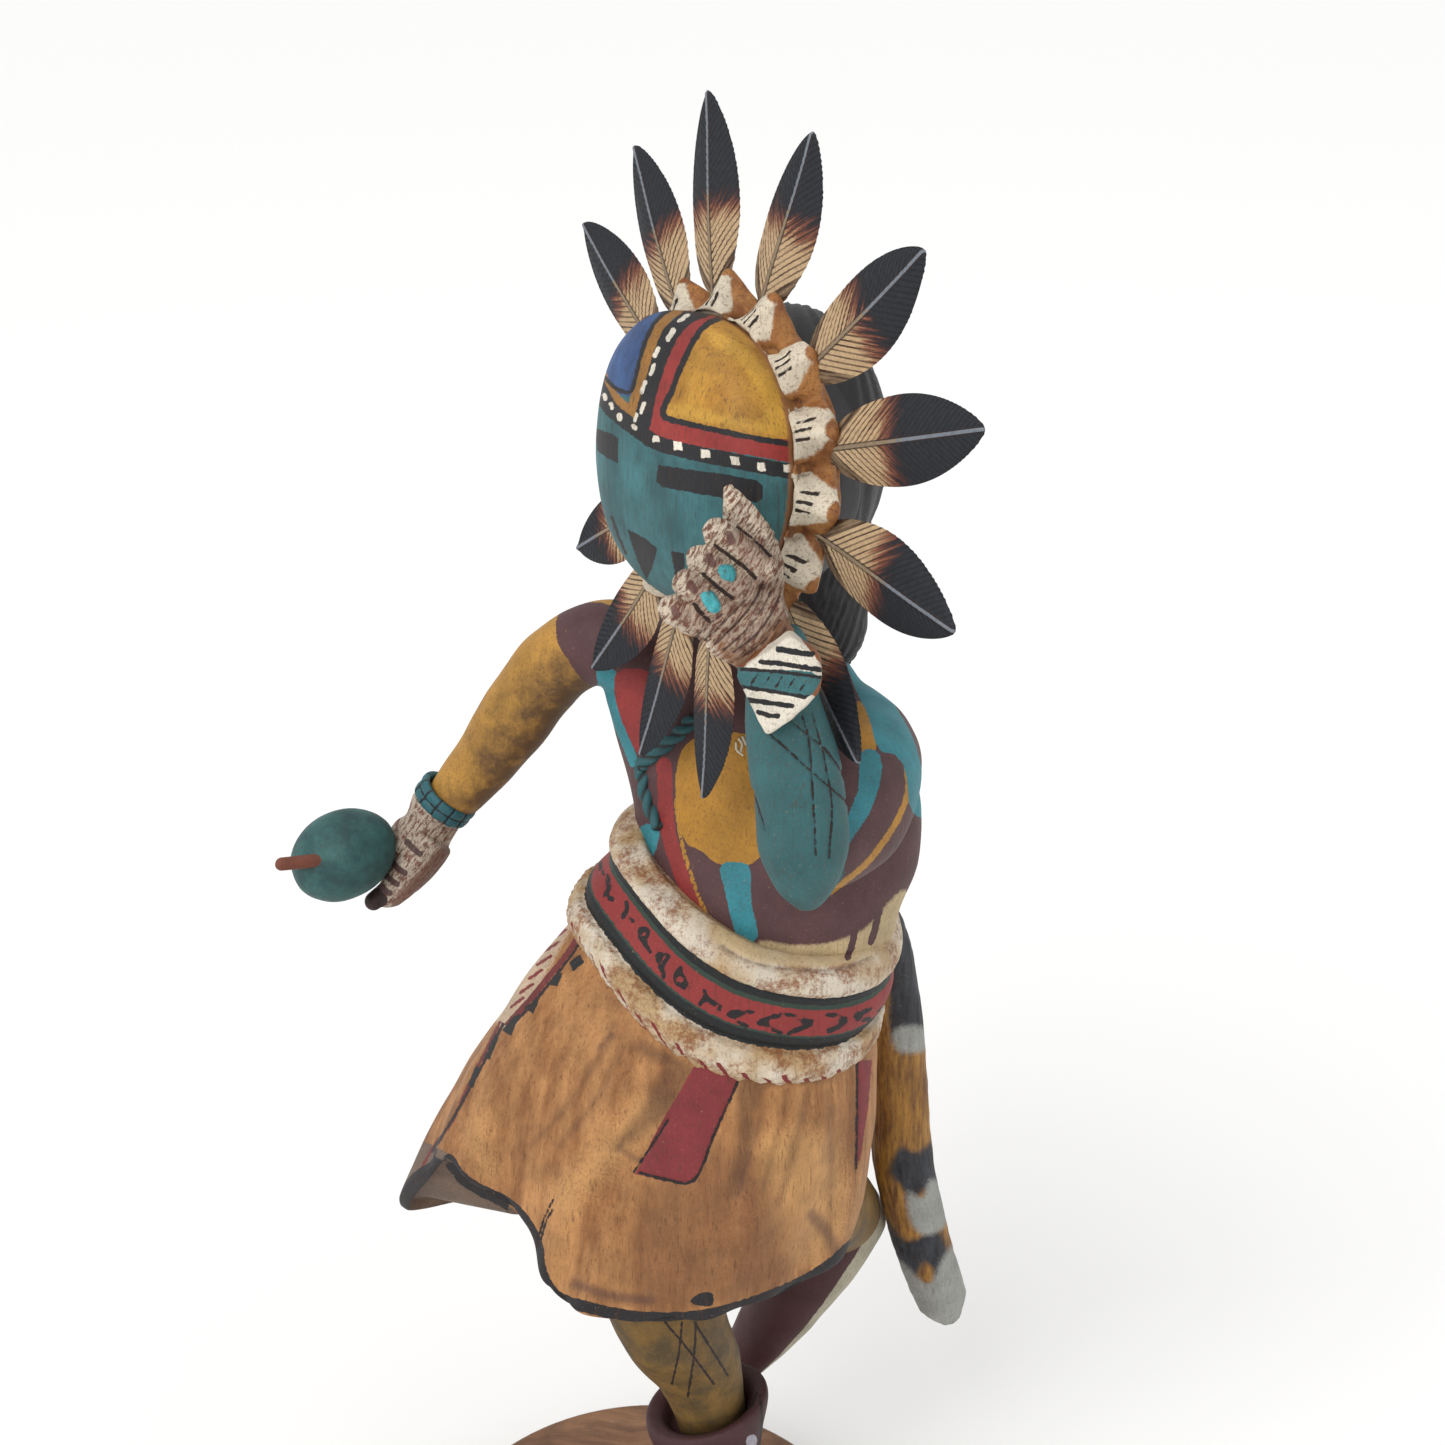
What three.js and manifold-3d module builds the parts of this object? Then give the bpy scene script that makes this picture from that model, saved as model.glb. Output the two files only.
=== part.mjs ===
// A carved and painted kachina doll, dancing on one leg on a round wooden base.
// Millimetres, +Z up, the doll's front towards -Y, origin at the centre of the base's underside.
import * as THREE from "three";
import { mergeVertices } from "three/addons/utils/BufferGeometryUtils.js";
import Module from "manifold-3d";

const wasm = await Module();
wasm.setup();

// Driving dimensions.
const BASE_RADIUS = 57;
const BASE_THICKNESS = 18;
const BASE_EDGE = 1.6;
const GAP = 0.3; // clearance between pieces that touch

const FIGURE_HEIGHT = 375; // base top to the tip of the highest feather
// The pose, the proportions and the carving are those of a doll 375 mm tall, and grow with it.
const SHARE = FIGURE_HEIGHT / 375;

const MASK_RADIUS = 29.6 * SHARE;
const MASK_BULGE = 16 * SHARE;
const MASK_RIM = 5.8 * SHARE; // how far the mask's rim stands before the feathers' plane
const RUFF_WIDTH = 8.6 * SHARE;
const RUFF_DEPTH = 9 * SHARE;
const RUFF_TABS = 15;
const TAB_HEIGHT = 4 * SHARE;

const FEATHER_TIP = 71.6 * SHARE; // ring centre to feather tip
const FEATHER_WIDTH = 16 * SHARE;
const FEATHER_THICKNESS = 2.6 * SHARE;
const TANG_WIDTH = 6 * SHARE;
const TANG_DEPTH = 4 * SHARE;
// Each feather's place in degrees clockwise from the crown as seen from the front, its backward
// sweep in degrees, and its reach and breadth as shares of the full feather. The place near 270
// stays empty.
const FEATHERS = [
  [343, 1, 1.03, 0.95], [11, 2, 0.96, 0.95], [44, 1, 1.01, 1], [71, 1, 1.07, 1], [100, 2, 1.02, 1],
  [131, 0, 0.97, 0.85], [159, 8, 0.9, 0.75], [176, 0, 1, 0.85], [195, 0, 1.02, 0.85],
  [214, -2, 0.96, 0.9], [238, 4, 0.9, 0.9], [301, 1, 1.01, 0.9], [321, 1, 1.01, 0.9],
];

const HANDLE_RADIUS = 2 * SHARE;
const HANDLE_BUTT = 9.5 * SHARE; // fist centre to the butt end
const HANDLE_TIP = 31 * SHARE; // fist centre to the end beyond the gourd
const GOURD_PLACE = 17.5 * SHARE; // fist centre to gourd centre
const GOURD_LENGTH = 25 * SHARE;
const GOURD_RADIUS = 11.2 * SHARE;

const PELT_RADIUS = 7.6 * SHARE;

// Paints and woods.
const paint = (color, roughness = 0.7) =>
  new THREE.MeshStandardMaterial({ color, roughness, metalness: 0 });
const cottonwood = paint(0xa9754a);
const carvedWood = paint(0xb07c50);
const featherPaint = paint(0xcbb48c);
const peltPaint = paint(0xa8772a);
const gourdPaint = paint(0x2f6466, 0.6);
const stickWood = paint(0x8b4a30);

// A point of the pose, drawn above the base's top.
const at = (x, y, z) => new THREE.Vector3(x, y, z).multiplyScalar(SHARE);

// Solids
function toSolid(geometry) {
  const bare = geometry.clone();
  for (const name of Object.keys(bare.attributes)) {
    if (name !== "position") bare.deleteAttribute(name);
  }
  const merged = mergeVertices(bare, 1e-4);
  const mesh = new wasm.Mesh({
    numProp: 3,
    vertProperties: new Float32Array(merged.attributes.position.array),
    triVerts: new Uint32Array(merged.index.array),
  });
  return new wasm.Manifold(mesh);
}

function toGeometry(solid) {
  const mesh = solid.getMesh();
  const geometry = new THREE.BufferGeometry();
  geometry.setAttribute("position", new THREE.BufferAttribute(mesh.vertProperties, 3));
  geometry.setIndex(new THREE.BufferAttribute(mesh.triVerts, 1));
  geometry.computeVertexNormals();
  return geometry;
}

const join = (geometries) => geometries.map(toSolid).reduce((sum, piece) => sum.add(piece));

// A closed skin over rings, listed so that the rings' axes turn rightward about the way along them.
function loft(rings, sides) {
  const geometry = new THREE.CylinderGeometry(1, 1, 1, sides, rings.length - 1);
  const position = geometry.attributes.position;
  for (let i = 0; i < position.count; i++) {
    const row = Math.round((0.5 - position.getY(i)) * (rings.length - 1));
    const x = position.getX(i);
    const z = position.getZ(i);
    const angle = Math.hypot(x, z) > 0.5 ? Math.atan2(z, x) : null;
    const point = angle === null ? rings[row].centre : rings[row].point(angle);
    position.setXYZ(i, point.x, point.y, point.z);
  }
  return geometry;
}

// An oval ring with half axes a and b; a squareness above 2 fills its corners.
function oval(centre, a, b, squareness = 2) {
  const bend = (value) => Math.sign(value) * Math.abs(value) ** (2 / squareness);
  const point = (angle) =>
    centre.clone().addScaledVector(a, bend(Math.cos(angle))).addScaledVector(b, bend(Math.sin(angle)));
  return { centre, point };
}

// The chest is turned this far from the photographed front, towards the doll's right.
const BODY_TURN = THREE.MathUtils.degToRad(-25);

// A ring across the body, turned about the upright and sloped by the two slopes.
function hoop([x, y, z], halfWidth, halfDepth, slopeX = 0, slopeY = 0, turn = 0) {
  const sloped = (dx, dy) => at(dx, dy, dx * slopeX + dy * slopeY);
  const a = sloped(halfWidth * Math.cos(turn), halfWidth * Math.sin(turn));
  const b = sloped(-halfDepth * Math.sin(turn), halfDepth * Math.cos(turn));
  return oval(at(x, y, z), a, b);
}

// A limb through joints [x, y, z, half width, half depth], smoothed; side is the width's direction.
function limb(joints, { side = [1, 0, 0], sides = 11, rows = 8 } = {}) {
  const path = new THREE.CatmullRomCurve3(joints.map(([x, y, z]) => at(x, y, z)), false, "centripetal");
  const widths = joints.map(([, , , width, depth = width]) => new THREE.Vector3(width, depth, 0));
  const girth = new THREE.CatmullRomCurve3(widths.map((w) => w.multiplyScalar(SHARE)));
  const rings = [];
  for (let i = 0; i <= rows; i++) {
    const t = i / rows;
    const along = path.getTangent(t);
    const a = new THREE.Vector3(...side).addScaledVector(along, -along.dot(new THREE.Vector3(...side)));
    a.normalize();
    const b = along.clone().cross(a);
    const { x: width, y: depth } = girth.getPoint(t);
    rings.push(oval(path.getPoint(t), a.multiplyScalar(width), b.multiplyScalar(depth)));
  }
  return loft(rings, sides);
}

// A finger or other round-ended rod between two points.
function rod(from, to, radius, sides = 7) {
  const along = to.clone().sub(from);
  const geometry = new THREE.CapsuleGeometry(radius * SHARE, along.length(), 2, sides);
  geometry.applyQuaternion(
    new THREE.Quaternion().setFromUnitVectors(new THREE.Vector3(0, 1, 0), along.clone().normalize())
  );
  const middle = from.clone().lerp(to, 0.5);
  return geometry.translate(middle.x, middle.y, middle.z);
}

// An egg of three half axes, turned so that its first axis runs along the direction.
function egg(centre, halfAxes, direction = new THREE.Vector3(1, 0, 0), segments = 12) {
  const geometry = new THREE.SphereGeometry(1, segments, segments / 2);
  geometry.scale(...halfAxes);
  geometry.applyQuaternion(
    new THREE.Quaternion().setFromUnitVectors(new THREE.Vector3(1, 0, 0), direction.clone().normalize())
  );
  return geometry.translate(centre.x, centre.y, centre.z);
}

// The head's own frame: x to the doll's left, y to the crown, z out of the face.
const HEAD_CENTRE = at(20.6, -20, 306.6);
const HEAD_TURN = THREE.MathUtils.degToRad(-54.8);
const HEAD_LIFT = THREE.MathUtils.degToRad(7.8);
const headFrame = new THREE.Matrix4()
  .makeRotationZ(HEAD_TURN)
  .multiply(new THREE.Matrix4().makeRotationX(Math.PI / 2 - HEAD_LIFT))
  .setPosition(HEAD_CENTRE);
const onHead = (geometry) => geometry.applyMatrix4(headFrame);
const headRing = (z, radius, squareness = 2) =>
  oval(
    new THREE.Vector3(0, 0, z),
    new THREE.Vector3(radius, 0, 0),
    new THREE.Vector3(0, radius, 0),
    squareness
  );

function base() {
  const outline = [
    [0, 0],
    [BASE_RADIUS - BASE_EDGE, 0],
    [BASE_RADIUS, BASE_EDGE],
    [BASE_RADIUS, BASE_THICKNESS - BASE_EDGE],
    [BASE_RADIUS - BASE_EDGE, BASE_THICKNESS],
    [0, BASE_THICKNESS],
  ].map(([radius, height]) => new THREE.Vector2(radius, height));
  return new THREE.LatheGeometry(outline, 40).rotateX(Math.PI / 2);
}

// The support leg stands in a boot with a wide cuff.
function supportLeg() {
  const shin = limb([
    [19, 5, 20, 10, 11],
    [17, 3, 40, 9, 9],
    [13.5, 0, 60, 11],
    [7, -5, 80, 14],
    [4, -4, 100, 17],
    [8, 0, 122, 20],
  ]);
  const bootFoot = limb(
    [
      [23, 19, 9, 4, 8],
      [22, 13, 9.5, 10, 9.3],
      [18, 0, 11, 10.5, 10.8],
      [12, -16, 8, 11.5, 7.8],
      [6, -32, 6, 10, 5.8],
      [3, -40, 4.6, 4, 3.6],
    ],
    { sides: 13 }
  );
  const bootShaft = loft(
    [
      hoop([20, 8, 3], 11.5, 13, 0, 0),
      hoop([19, 6, 16], 11.2, 12, 0, 0),
      hoop([17.5, 4, 28], 12, 12, 0.1, 0),
      hoop([16, 2, 38], 14.2, 13.4, 0.22, 0),
      hoop([15.6, 2, 46], 15.8, 15, 0.28, 0),
      hoop([15.4, 2, 48], 15.2, 14.4, 0.28, 0),
      hoop([15.6, 2, 47], 12, 11.4, 0.28, 0),
      hoop([16, 2, 41], 9, 9, 0.2, 0),
    ],
    16
  );
  const sole = new THREE.Shape();
  sole.ellipse(0, 0, 11.8 * SHARE, 31 * SHARE, 0, 2 * Math.PI);
  const pad = new THREE.ExtrudeGeometry(sole, { depth: 3.2 * SHARE, bevelEnabled: false, curveSegments: 12 });
  const step = at(13, -10, 0);
  pad.rotateZ(-0.32).translate(step.x, step.y, step.z);
  return [shin, bootFoot, bootShaft, pad];
}

// The other leg is bent back: its foot hangs behind the hem, toe down.
function raisedLeg() {
  const calf = limb([
    [30, -4, 120, 15],
    [40, 10, 104, 14],
    [47, 28, 90, 12.5],
    [51, 38, 80, 11],
  ]);
  const foot = limb(
    [
      [56, 46, 84, 6, 4],
      [54, 42, 78, 9.5, 10],
      [46, 41, 64, 10, 11],
      [36, 41, 47, 10.5, 9.5],
      [26, 41, 31, 8.5, 6.5],
      [21, 41, 25, 3.5, 3],
    ],
    { side: [0, 1, 0], sides: 13 }
  );
  return [calf, foot];
}

// The kilt hangs from the waist to a hem that swings out to a point at the back left.
const HEM = [
  [52.3, -5, 106], [42.5, -22, 106], [28.3, -34, 107], [14.4, -40, 107], [0.6, -40, 106],
  [-13.2, -38, 108], [-21.7, -32, 110], [-26, -23, 121], [-38, -14, 124.5], [-47, -5, 127],
  [-56, 8, 112], [-63, 24, 91], [-50, 33, 88], [-28, 40, 86], [0, 44, 88],
  [23, 40, 92], [40.5, 28, 97], [48.5, 10, 102],
];
const WAIST = { centre: [24, 2, 188], halfWidth: 30.4, halfDepth: 31, slopeX: -0.34, slopeY: 0.11 };

function kilt() {
  const hemLine = new THREE.CatmullRomCurve3(HEM.map(([x, y, z]) => at(x, y, z)), true);
  const middle = at(2, 0, 106);
  const { centre, halfWidth, halfDepth, slopeX, slopeY } = WAIST;
  const waist = hoop(centre, halfWidth, halfDepth, slopeX, slopeY);
  // Each angle runs down from the waist to the hem below it; drop is 0 at the waist and 1 at the hem.
  const row = (drop, inset = 0, lift = 0) => {
    const point = (angle) => {
      const turn = (1 - angle / (2 * Math.PI)) % 1;
      const low = hemLine.getPoint((turn + 1) % 1);
      const high = waist.point(angle);
      const spot = high.lerp(low, drop);
      const inward = middle.clone().sub(spot).setZ(0).normalize();
      const swell = 3.5 * SHARE * Math.sin(Math.PI * drop) - inset;
      return spot.addScaledVector(inward, -swell).add(new THREE.Vector3(0, 0, lift));
    };
    const level = new THREE.Vector3();
    for (let i = 0; i < 12; i++) level.addScaledVector(point((i / 12) * 2 * Math.PI), 1 / 12);
    return { centre: level, point };
  };
  const hemWall = 4 * SHARE;
  const recess = 6 * SHARE;
  const rings = [row(1, hemWall * 1.4, recess), row(1, hemWall, 0)];
  for (const drop of [1, 0.93, 0.8, 0.62, 0.42, 0.2, 0]) rings.push(row(drop));
  return loft(rings, 35);
}

// Two thick rolls with a band between them, wrapped round the hips and lower at the doll's left.
function belt() {
  const profile = [
    [-26, 32], [-25, 36], [-21, 38.4], [-16.5, 37.4], [-14.5, 35.4], [-3, 33.8], [-1.5, 34.8],
    [2, 35], [5, 33.4], [7, 29.5],
  ];
  const { slopeX, slopeY } = WAIST;
  const lean = new THREE.Vector3(-slopeX, -slopeY, 1).normalize();
  const rings = profile.map(([rise, radius]) => {
    const [x, y, z] = [26 + rise * lean.x, 1 + rise * lean.y, 195 + rise * lean.z];
    return hoop([x, y, z], radius, radius * 0.95, slopeX, slopeY);
  });
  return loft(rings, 32);
}

function torso() {
  const rings = [
    hoop([28, 2, 186], 31, 28, -0.34, 0.11, BODY_TURN),
    hoop([30, 4, 204], 31, 27, -0.3, 0.1, BODY_TURN),
    hoop([32, 7, 214], 33.6, 26, -0.2, 0.05, BODY_TURN),
    hoop([31, 10, 228], 34.4, 24, -0.12, 0, BODY_TURN),
    hoop([25.5, 14, 241], 32, 20.5, -0.08, 0, BODY_TURN),
    hoop([23, 16, 251], 26, 16, -0.04, 0, BODY_TURN),
    hoop([23.5, 14, 258], 16, 12.5, 0, 0, BODY_TURN),
    hoop([23, 8, 266], 11, 11, 0, 0.3),
    hoop([22, -4, 282], 11, 11, 0, 0.4),
  ];
  return loft(rings, 22);
}

// The doll's right arm swings out and back, and holds the rattle.
function rattleArm() {
  return limb([
    [6, 16, 246, 10.4],
    [-7, 20, 251, 9.8],
    [-17.4, 24, 245, 9],
    [-27.2, 28, 231.6, 9],
    [-35.6, 30, 218.5, 7.8],
    [-43.6, 31, 208, 6.7],
    [-48, 31, 203, 5.9],
    [-52, 30, 198, 6.4],
  ], { side: [0, 1, 0] });
}

const FIST = at(-56, 27.7, 191.8);
const HANDLE_WAY = new THREE.Vector3(-0.918, -0.371, 0.144).normalize();
const WRIST = at(-47.4, 31, 203.8);
const WRIST_WAY = new THREE.Vector3(-0.62, 0, -0.78).normalize();

function rattleHand() {
  const pieces = [egg(FIST, [8.5 * SHARE, 7.6 * SHARE, 9.2 * SHARE], HANDLE_WAY)];
  const across = new THREE.Vector3(-0.05, -0.62, -0.76).normalize();
  for (let i = 0; i < 4; i++) {
    const knuckle = FIST.clone().addScaledVector(HANDLE_WAY, (6.6 - 4.5 * i) * SHARE);
    knuckle.add(at(0, -5.4, 0.4));
    pieces.push(rod(knuckle, knuckle.clone().addScaledVector(across, 6 * SHARE), 2.5));
  }
  const cuff = new THREE.CylinderGeometry(7.4 * SHARE, 7.4 * SHARE, 4.6 * SHARE, 16);
  cuff.applyQuaternion(new THREE.Quaternion().setFromUnitVectors(new THREE.Vector3(0, 1, 0), WRIST_WAY));
  pieces.push(cuff.translate(WRIST.x, WRIST.y, WRIST.z));
  return pieces;
}

// The doll's left arm comes forward, bends sharply and lifts the hand before the mask.
function maskArm() {
  const upperArm = limb([
    [44, 10, 234, 13],
    [49, -6, 235.5, 13.4],
    [48.6, -24, 237.4, 13.2],
    [44.8, -42, 237, 12],
    [38.5, -58, 238.5, 8.5],
    [36, -66, 240, 4],
  ], { side: [0, 0, 1] });
  const forearm = limb([
    [36.4, -65, 229.5, 2.4],
    [36, -66, 236, 6.6],
    [35.2, -67, 246, 9],
    [34, -66.5, 257.8, 9],
    [32, -64.5, 267.2, 8.2],
    [29.5, -62, 273.5, 7.2],
    [27, -60, 279, 6.8],
    [24, -60, 286, 6.6],
  ]);
  return [upperArm, forearm];
}

function maskHand() {
  const palm = egg(at(21.6, -59.5, 290.5), [8.6 * SHARE, 5.6 * SHARE, 10.5 * SHARE]);
  const fingers = [
    { from: [17.6, -60, 284.4], to: [11.4, -62, 290.4] },
    { from: [20.6, -62, 289.3], to: [14, -63, 296.4] },
    { from: [23.2, -63, 293.7], to: [17, -64, 302.5] },
    { from: [25.8, -63, 297.7], to: [20.5, -64, 307] },
  ].map(({ from, to }) => rod(at(...from), at(...to), 2.8));
  const pointing = limb([
    [27.5, -58, 292, 4.2, 3.6],
    [28, -58, 300, 4.2, 3.4],
    [24.8, -59.5, 308, 2.8, 2.4],
    [22.2, -60, 313.5, 0.8],
  ], { rows: 5, sides: 8 });
  return [palm, ...fingers, pointing];
}

// A painted shield tied to the forearm, point down.
function bowGuard() {
  const shape = new THREE.Shape();
  shape.moveTo(-3, -9.8);
  shape.lineTo(7.4, 0.2);
  shape.quadraticCurveTo(10.4, 3, 10.6, 5);
  shape.lineTo(3.8, 9.4);
  shape.lineTo(-9, 2.4);
  shape.closePath();
  const plate = new THREE.ExtrudeGeometry(shape, { depth: 7, bevelEnabled: false, curveSegments: 2 });
  const place = at(31, -66.5, 279.4);
  plate.scale(SHARE, SHARE, SHARE);
  return plate.rotateX(Math.PI / 2 - 0.2).translate(place.x, place.y, place.z);
}

// The head: a domed mask before a plain back, a husk ruff round the rim and hair behind.
function head() {
  const back = [
    [-24, 0.3], [-21, 0.62], [-14, 0.86], [-6, 0.97], [4.8, 1],
  ];
  const rings = back.map(([z, radius]) => headRing(z * SHARE, MASK_RADIUS * radius));
  const domeRows = 6;
  for (let i = 0; i <= domeRows; i++) {
    const lift = Math.sin((i / domeRows) * (Math.PI / 2) * 0.96);
    const radius = MASK_RADIUS * (1 - lift ** 2.3) ** (1 / 2.3);
    rings.push(headRing(MASK_RIM + MASK_BULGE * lift, radius, 2.25));
  }
  return onHead(loft(rings, 28));
}

const ruffRadius = MASK_RADIUS + RUFF_WIDTH;

function ruff() {
  // The husks' tips stand forward, and the ring slopes in behind them.
  const back = MASK_RIM + SHARE - RUFF_DEPTH * 1.3;
  const profile = [
    [-0.35, back], [0.15, back], [0.62, back * 0.35], [1, 1.6 * SHARE], [0.88, 3.4 * SHARE],
    [0.17, MASK_RIM + SHARE], [-0.35, MASK_RIM], [-0.35, back],
  ].map(([width, z]) => new THREE.Vector2(MASK_RADIUS + width * RUFF_WIDTH, z));
  // One vertex falls on each husk's tip and one on each notch.
  const geometry = new THREE.LatheGeometry(profile, RUFF_TABS * 2, Math.PI / 2).rotateX(Math.PI / 2);
  const position = geometry.attributes.position;
  for (let i = 0; i < position.count; i++) {
    const x = position.getX(i);
    const y = position.getY(i);
    const radius = Math.hypot(x, y);
    const tab = Math.abs(((Math.atan2(y, x) / (2 * Math.PI)) * RUFF_TABS + RUFF_TABS) % 1 - 0.5) * 2;
    const reach = radius > MASK_RADIUS + RUFF_WIDTH / 2 ? 1 - (TAB_HEIGHT / radius) * (1 - tab) : 1;
    position.setXY(i, x * reach, y * reach);
  }
  return onHead(geometry);
}

function hair() {
  const crown = egg(HEAD_CENTRE.clone().add(at(11, 9, 1)), [22 * SHARE, 25 * SHARE, 29 * SHARE]);
  const fall = limb([
    [30, 0, 326, 10],
    [33, 3, 315, 16, 15],
    [34, 7, 298, 17, 16],
    [34.5, 11, 276, 17.5, 14],
    [35, 16, 256, 17, 13],
    [35, 20, 242, 10, 7],
  ], { sides: 12 });
  return [crown, fall];
}

// A leaf-shaped feather lying along +Y, with a tang at its root.
function feather([, , reach, breadth], clearance = 0) {
  const half = (FEATHER_WIDTH * breadth) / 2;
  const tip = FEATHER_TIP * reach;
  const root = ruffRadius - TAB_HEIGHT + GAP;
  const length = tip - root;
  const tang = TANG_WIDTH / 2 + clearance;
  const shape = new THREE.Shape();
  shape.moveTo(-tang, root - TANG_DEPTH - clearance);
  shape.lineTo(tang, root - TANG_DEPTH - clearance);
  if (clearance > 0) {
    shape.lineTo(tang, root + TAB_HEIGHT * 3);
    shape.lineTo(-tang, root + TAB_HEIGHT * 3);
  } else {
    shape.lineTo(tang, root + TAB_HEIGHT);
    shape.bezierCurveTo(
      half * 0.9, root + length * 0.2, half * 1.18, root + length * 0.45, half * 0.95, root + length * 0.66
    );
    shape.quadraticCurveTo(half * 0.7, root + length * 0.88, 0, tip);
    shape.quadraticCurveTo(-half * 0.7, root + length * 0.88, -half * 0.95, root + length * 0.66);
    shape.bezierCurveTo(
      -half * 1.18, root + length * 0.45, -half * 0.9, root + length * 0.2, -tang, root + TAB_HEIGHT
    );
  }
  shape.closePath();
  const depth = FEATHER_THICKNESS + 2 * clearance;
  const geometry = new THREE.ExtrudeGeometry(shape, { depth, bevelEnabled: false, curveSegments: 3 });
  return geometry.translate(0, 0, -depth / 2);
}

// Turns a feather to its place and sweeps it back about its root.
function featherPlace([place, sweep]) {
  const root = new THREE.Vector3(0, ruffRadius - TAB_HEIGHT - TANG_DEPTH, 0);
  return new THREE.Matrix4()
    .makeRotationZ(THREE.MathUtils.degToRad(-place))
    .multiply(new THREE.Matrix4().setPosition(root))
    .multiply(new THREE.Matrix4().makeRotationX(THREE.MathUtils.degToRad(-sweep)))
    .multiply(new THREE.Matrix4().setPosition(root.clone().negate()));
}

// A tail that hangs from the belt behind the doll's left hip.
function pelt(clearance = 0) {
  const grow = clearance / SHARE;
  const joints = [
    [52, 24, 184, 0.6], [57, 28, 172, 0.95], [61, 32, 152, 1], [64, 34.5, 128, 1], [66.3, 35.5, 102, 1.04],
    [70, 37, 82, 1.02], [74, 38, 66, 0.98], [79, 39.5, 51, 0.9], [82, 40, 43, 0.35],
  ];
  const radius = PELT_RADIUS / SHARE;
  return limb(joints.map(([x, y, z, girth]) => [x, y, z, radius * girth + grow]), { rows: 13, sides: 12 });
}

// The rattle's stick and gourd lie along one line through the fist.
const onHandle = (distance) => FIST.clone().addScaledVector(HANDLE_WAY, distance);

function handle(clearance = 0) {
  const length = HANDLE_BUTT + HANDLE_TIP;
  const radius = HANDLE_RADIUS + clearance;
  const stick = new THREE.CylinderGeometry(radius, radius, length + 2 * clearance, 12);
  stick.applyQuaternion(new THREE.Quaternion().setFromUnitVectors(new THREE.Vector3(0, 1, 0), HANDLE_WAY));
  const middle = onHandle((HANDLE_TIP - HANDLE_BUTT) / 2);
  return stick.translate(middle.x, middle.y, middle.z);
}

function gourd(clearance = 0) {
  const halfAxes = [GOURD_LENGTH / 2, GOURD_RADIUS, GOURD_RADIUS].map((half) => half + clearance);
  const geometry = new THREE.SphereGeometry(1, 14, 9).scale(...halfAxes);
  const lean = new THREE.Vector3(0.86, 0.2, 0.42).normalize();
  geometry.applyQuaternion(new THREE.Quaternion().setFromUnitVectors(new THREE.Vector3(1, 0, 0), lean));
  const middle = onHandle(GOURD_PLACE);
  return geometry.translate(middle.x, middle.y, middle.z);
}

// The whole figure is one carving, with slots for the feathers, the tail and the rattle.
function figure() {
  const carving = join([
    torso(), kilt(), belt(), ...supportLeg(), ...raisedLeg(), rattleArm(), ...rattleHand(),
    ...maskArm(), ...maskHand(), bowGuard(), head(), ruff(), ...hair(),
  ]);
  const slab = new THREE.BoxGeometry(FIGURE_HEIGHT, FIGURE_HEIGHT, BASE_THICKNESS);
  const floor = slab.translate(0, 0, GAP - BASE_THICKNESS / 2);
  const slots = FEATHERS.map((kind) => onHead(feather(kind, GAP).applyMatrix4(featherPlace(kind))));
  const tools = join([...slots, pelt(GAP), handle(GAP), gourd(GAP), floor]);
  return toGeometry(carving.subtract(tools));
}

const piece = (name, geometry, material) => {
  const mesh = new THREE.Mesh(geometry, material);
  mesh.name = name;
  return mesh;
};

const group = new THREE.Group();
group.add(piece("base", base(), cottonwood));

const doll = new THREE.Group();
doll.position.z = BASE_THICKNESS;
doll.add(piece("figure", figure(), carvedWood));
doll.add(piece("fox_pelt", toGeometry(toSolid(pelt())), peltPaint));
doll.add(piece("rattle_handle", handle(), stickWood));
doll.add(piece("rattle_gourd", toGeometry(toSolid(gourd()).subtract(toSolid(handle(GAP)))), gourdPaint));
group.add(doll);

const feathers = new THREE.Group();
feathers.applyMatrix4(headFrame);
doll.add(feathers);
FEATHERS.forEach((kind, index) => {
  const name = `feather_${String(index + 1).padStart(2, "0")}`;
  const mesh = piece(name, feather(kind), featherPaint);
  mesh.applyMatrix4(featherPlace(kind));
  feathers.add(mesh);
});

export default group;
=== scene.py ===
import math

import bmesh
import bpy
import numpy as np
from mathutils import Matrix, Vector, noise
from mathutils.bvhtree import BVHTree


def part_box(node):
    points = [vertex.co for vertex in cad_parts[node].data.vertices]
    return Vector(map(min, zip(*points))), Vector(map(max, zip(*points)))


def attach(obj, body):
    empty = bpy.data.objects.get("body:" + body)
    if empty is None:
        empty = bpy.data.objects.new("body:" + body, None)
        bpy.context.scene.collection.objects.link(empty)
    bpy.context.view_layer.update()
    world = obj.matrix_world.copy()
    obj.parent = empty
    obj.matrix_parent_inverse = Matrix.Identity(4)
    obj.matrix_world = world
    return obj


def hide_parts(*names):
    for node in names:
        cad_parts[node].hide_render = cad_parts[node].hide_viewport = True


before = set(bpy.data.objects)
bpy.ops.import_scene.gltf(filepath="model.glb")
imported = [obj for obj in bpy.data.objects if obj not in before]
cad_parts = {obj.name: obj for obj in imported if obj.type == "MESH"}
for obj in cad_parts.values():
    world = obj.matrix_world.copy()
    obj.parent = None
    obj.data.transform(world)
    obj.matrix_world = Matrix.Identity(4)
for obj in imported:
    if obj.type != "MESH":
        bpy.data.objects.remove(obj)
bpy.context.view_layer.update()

# Everything is shaped in millimetres and made metres at the end. The origin is the centre of the
# base's underside, +Z is up and the doll's front is towards -Y.
MM = 0.001
BASE_HIGH = np.array(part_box("base")[1]) / MM
BASE_RADIUS = BASE_HIGH[0]
BASE_TOP = BASE_HIGH[2]

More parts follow.
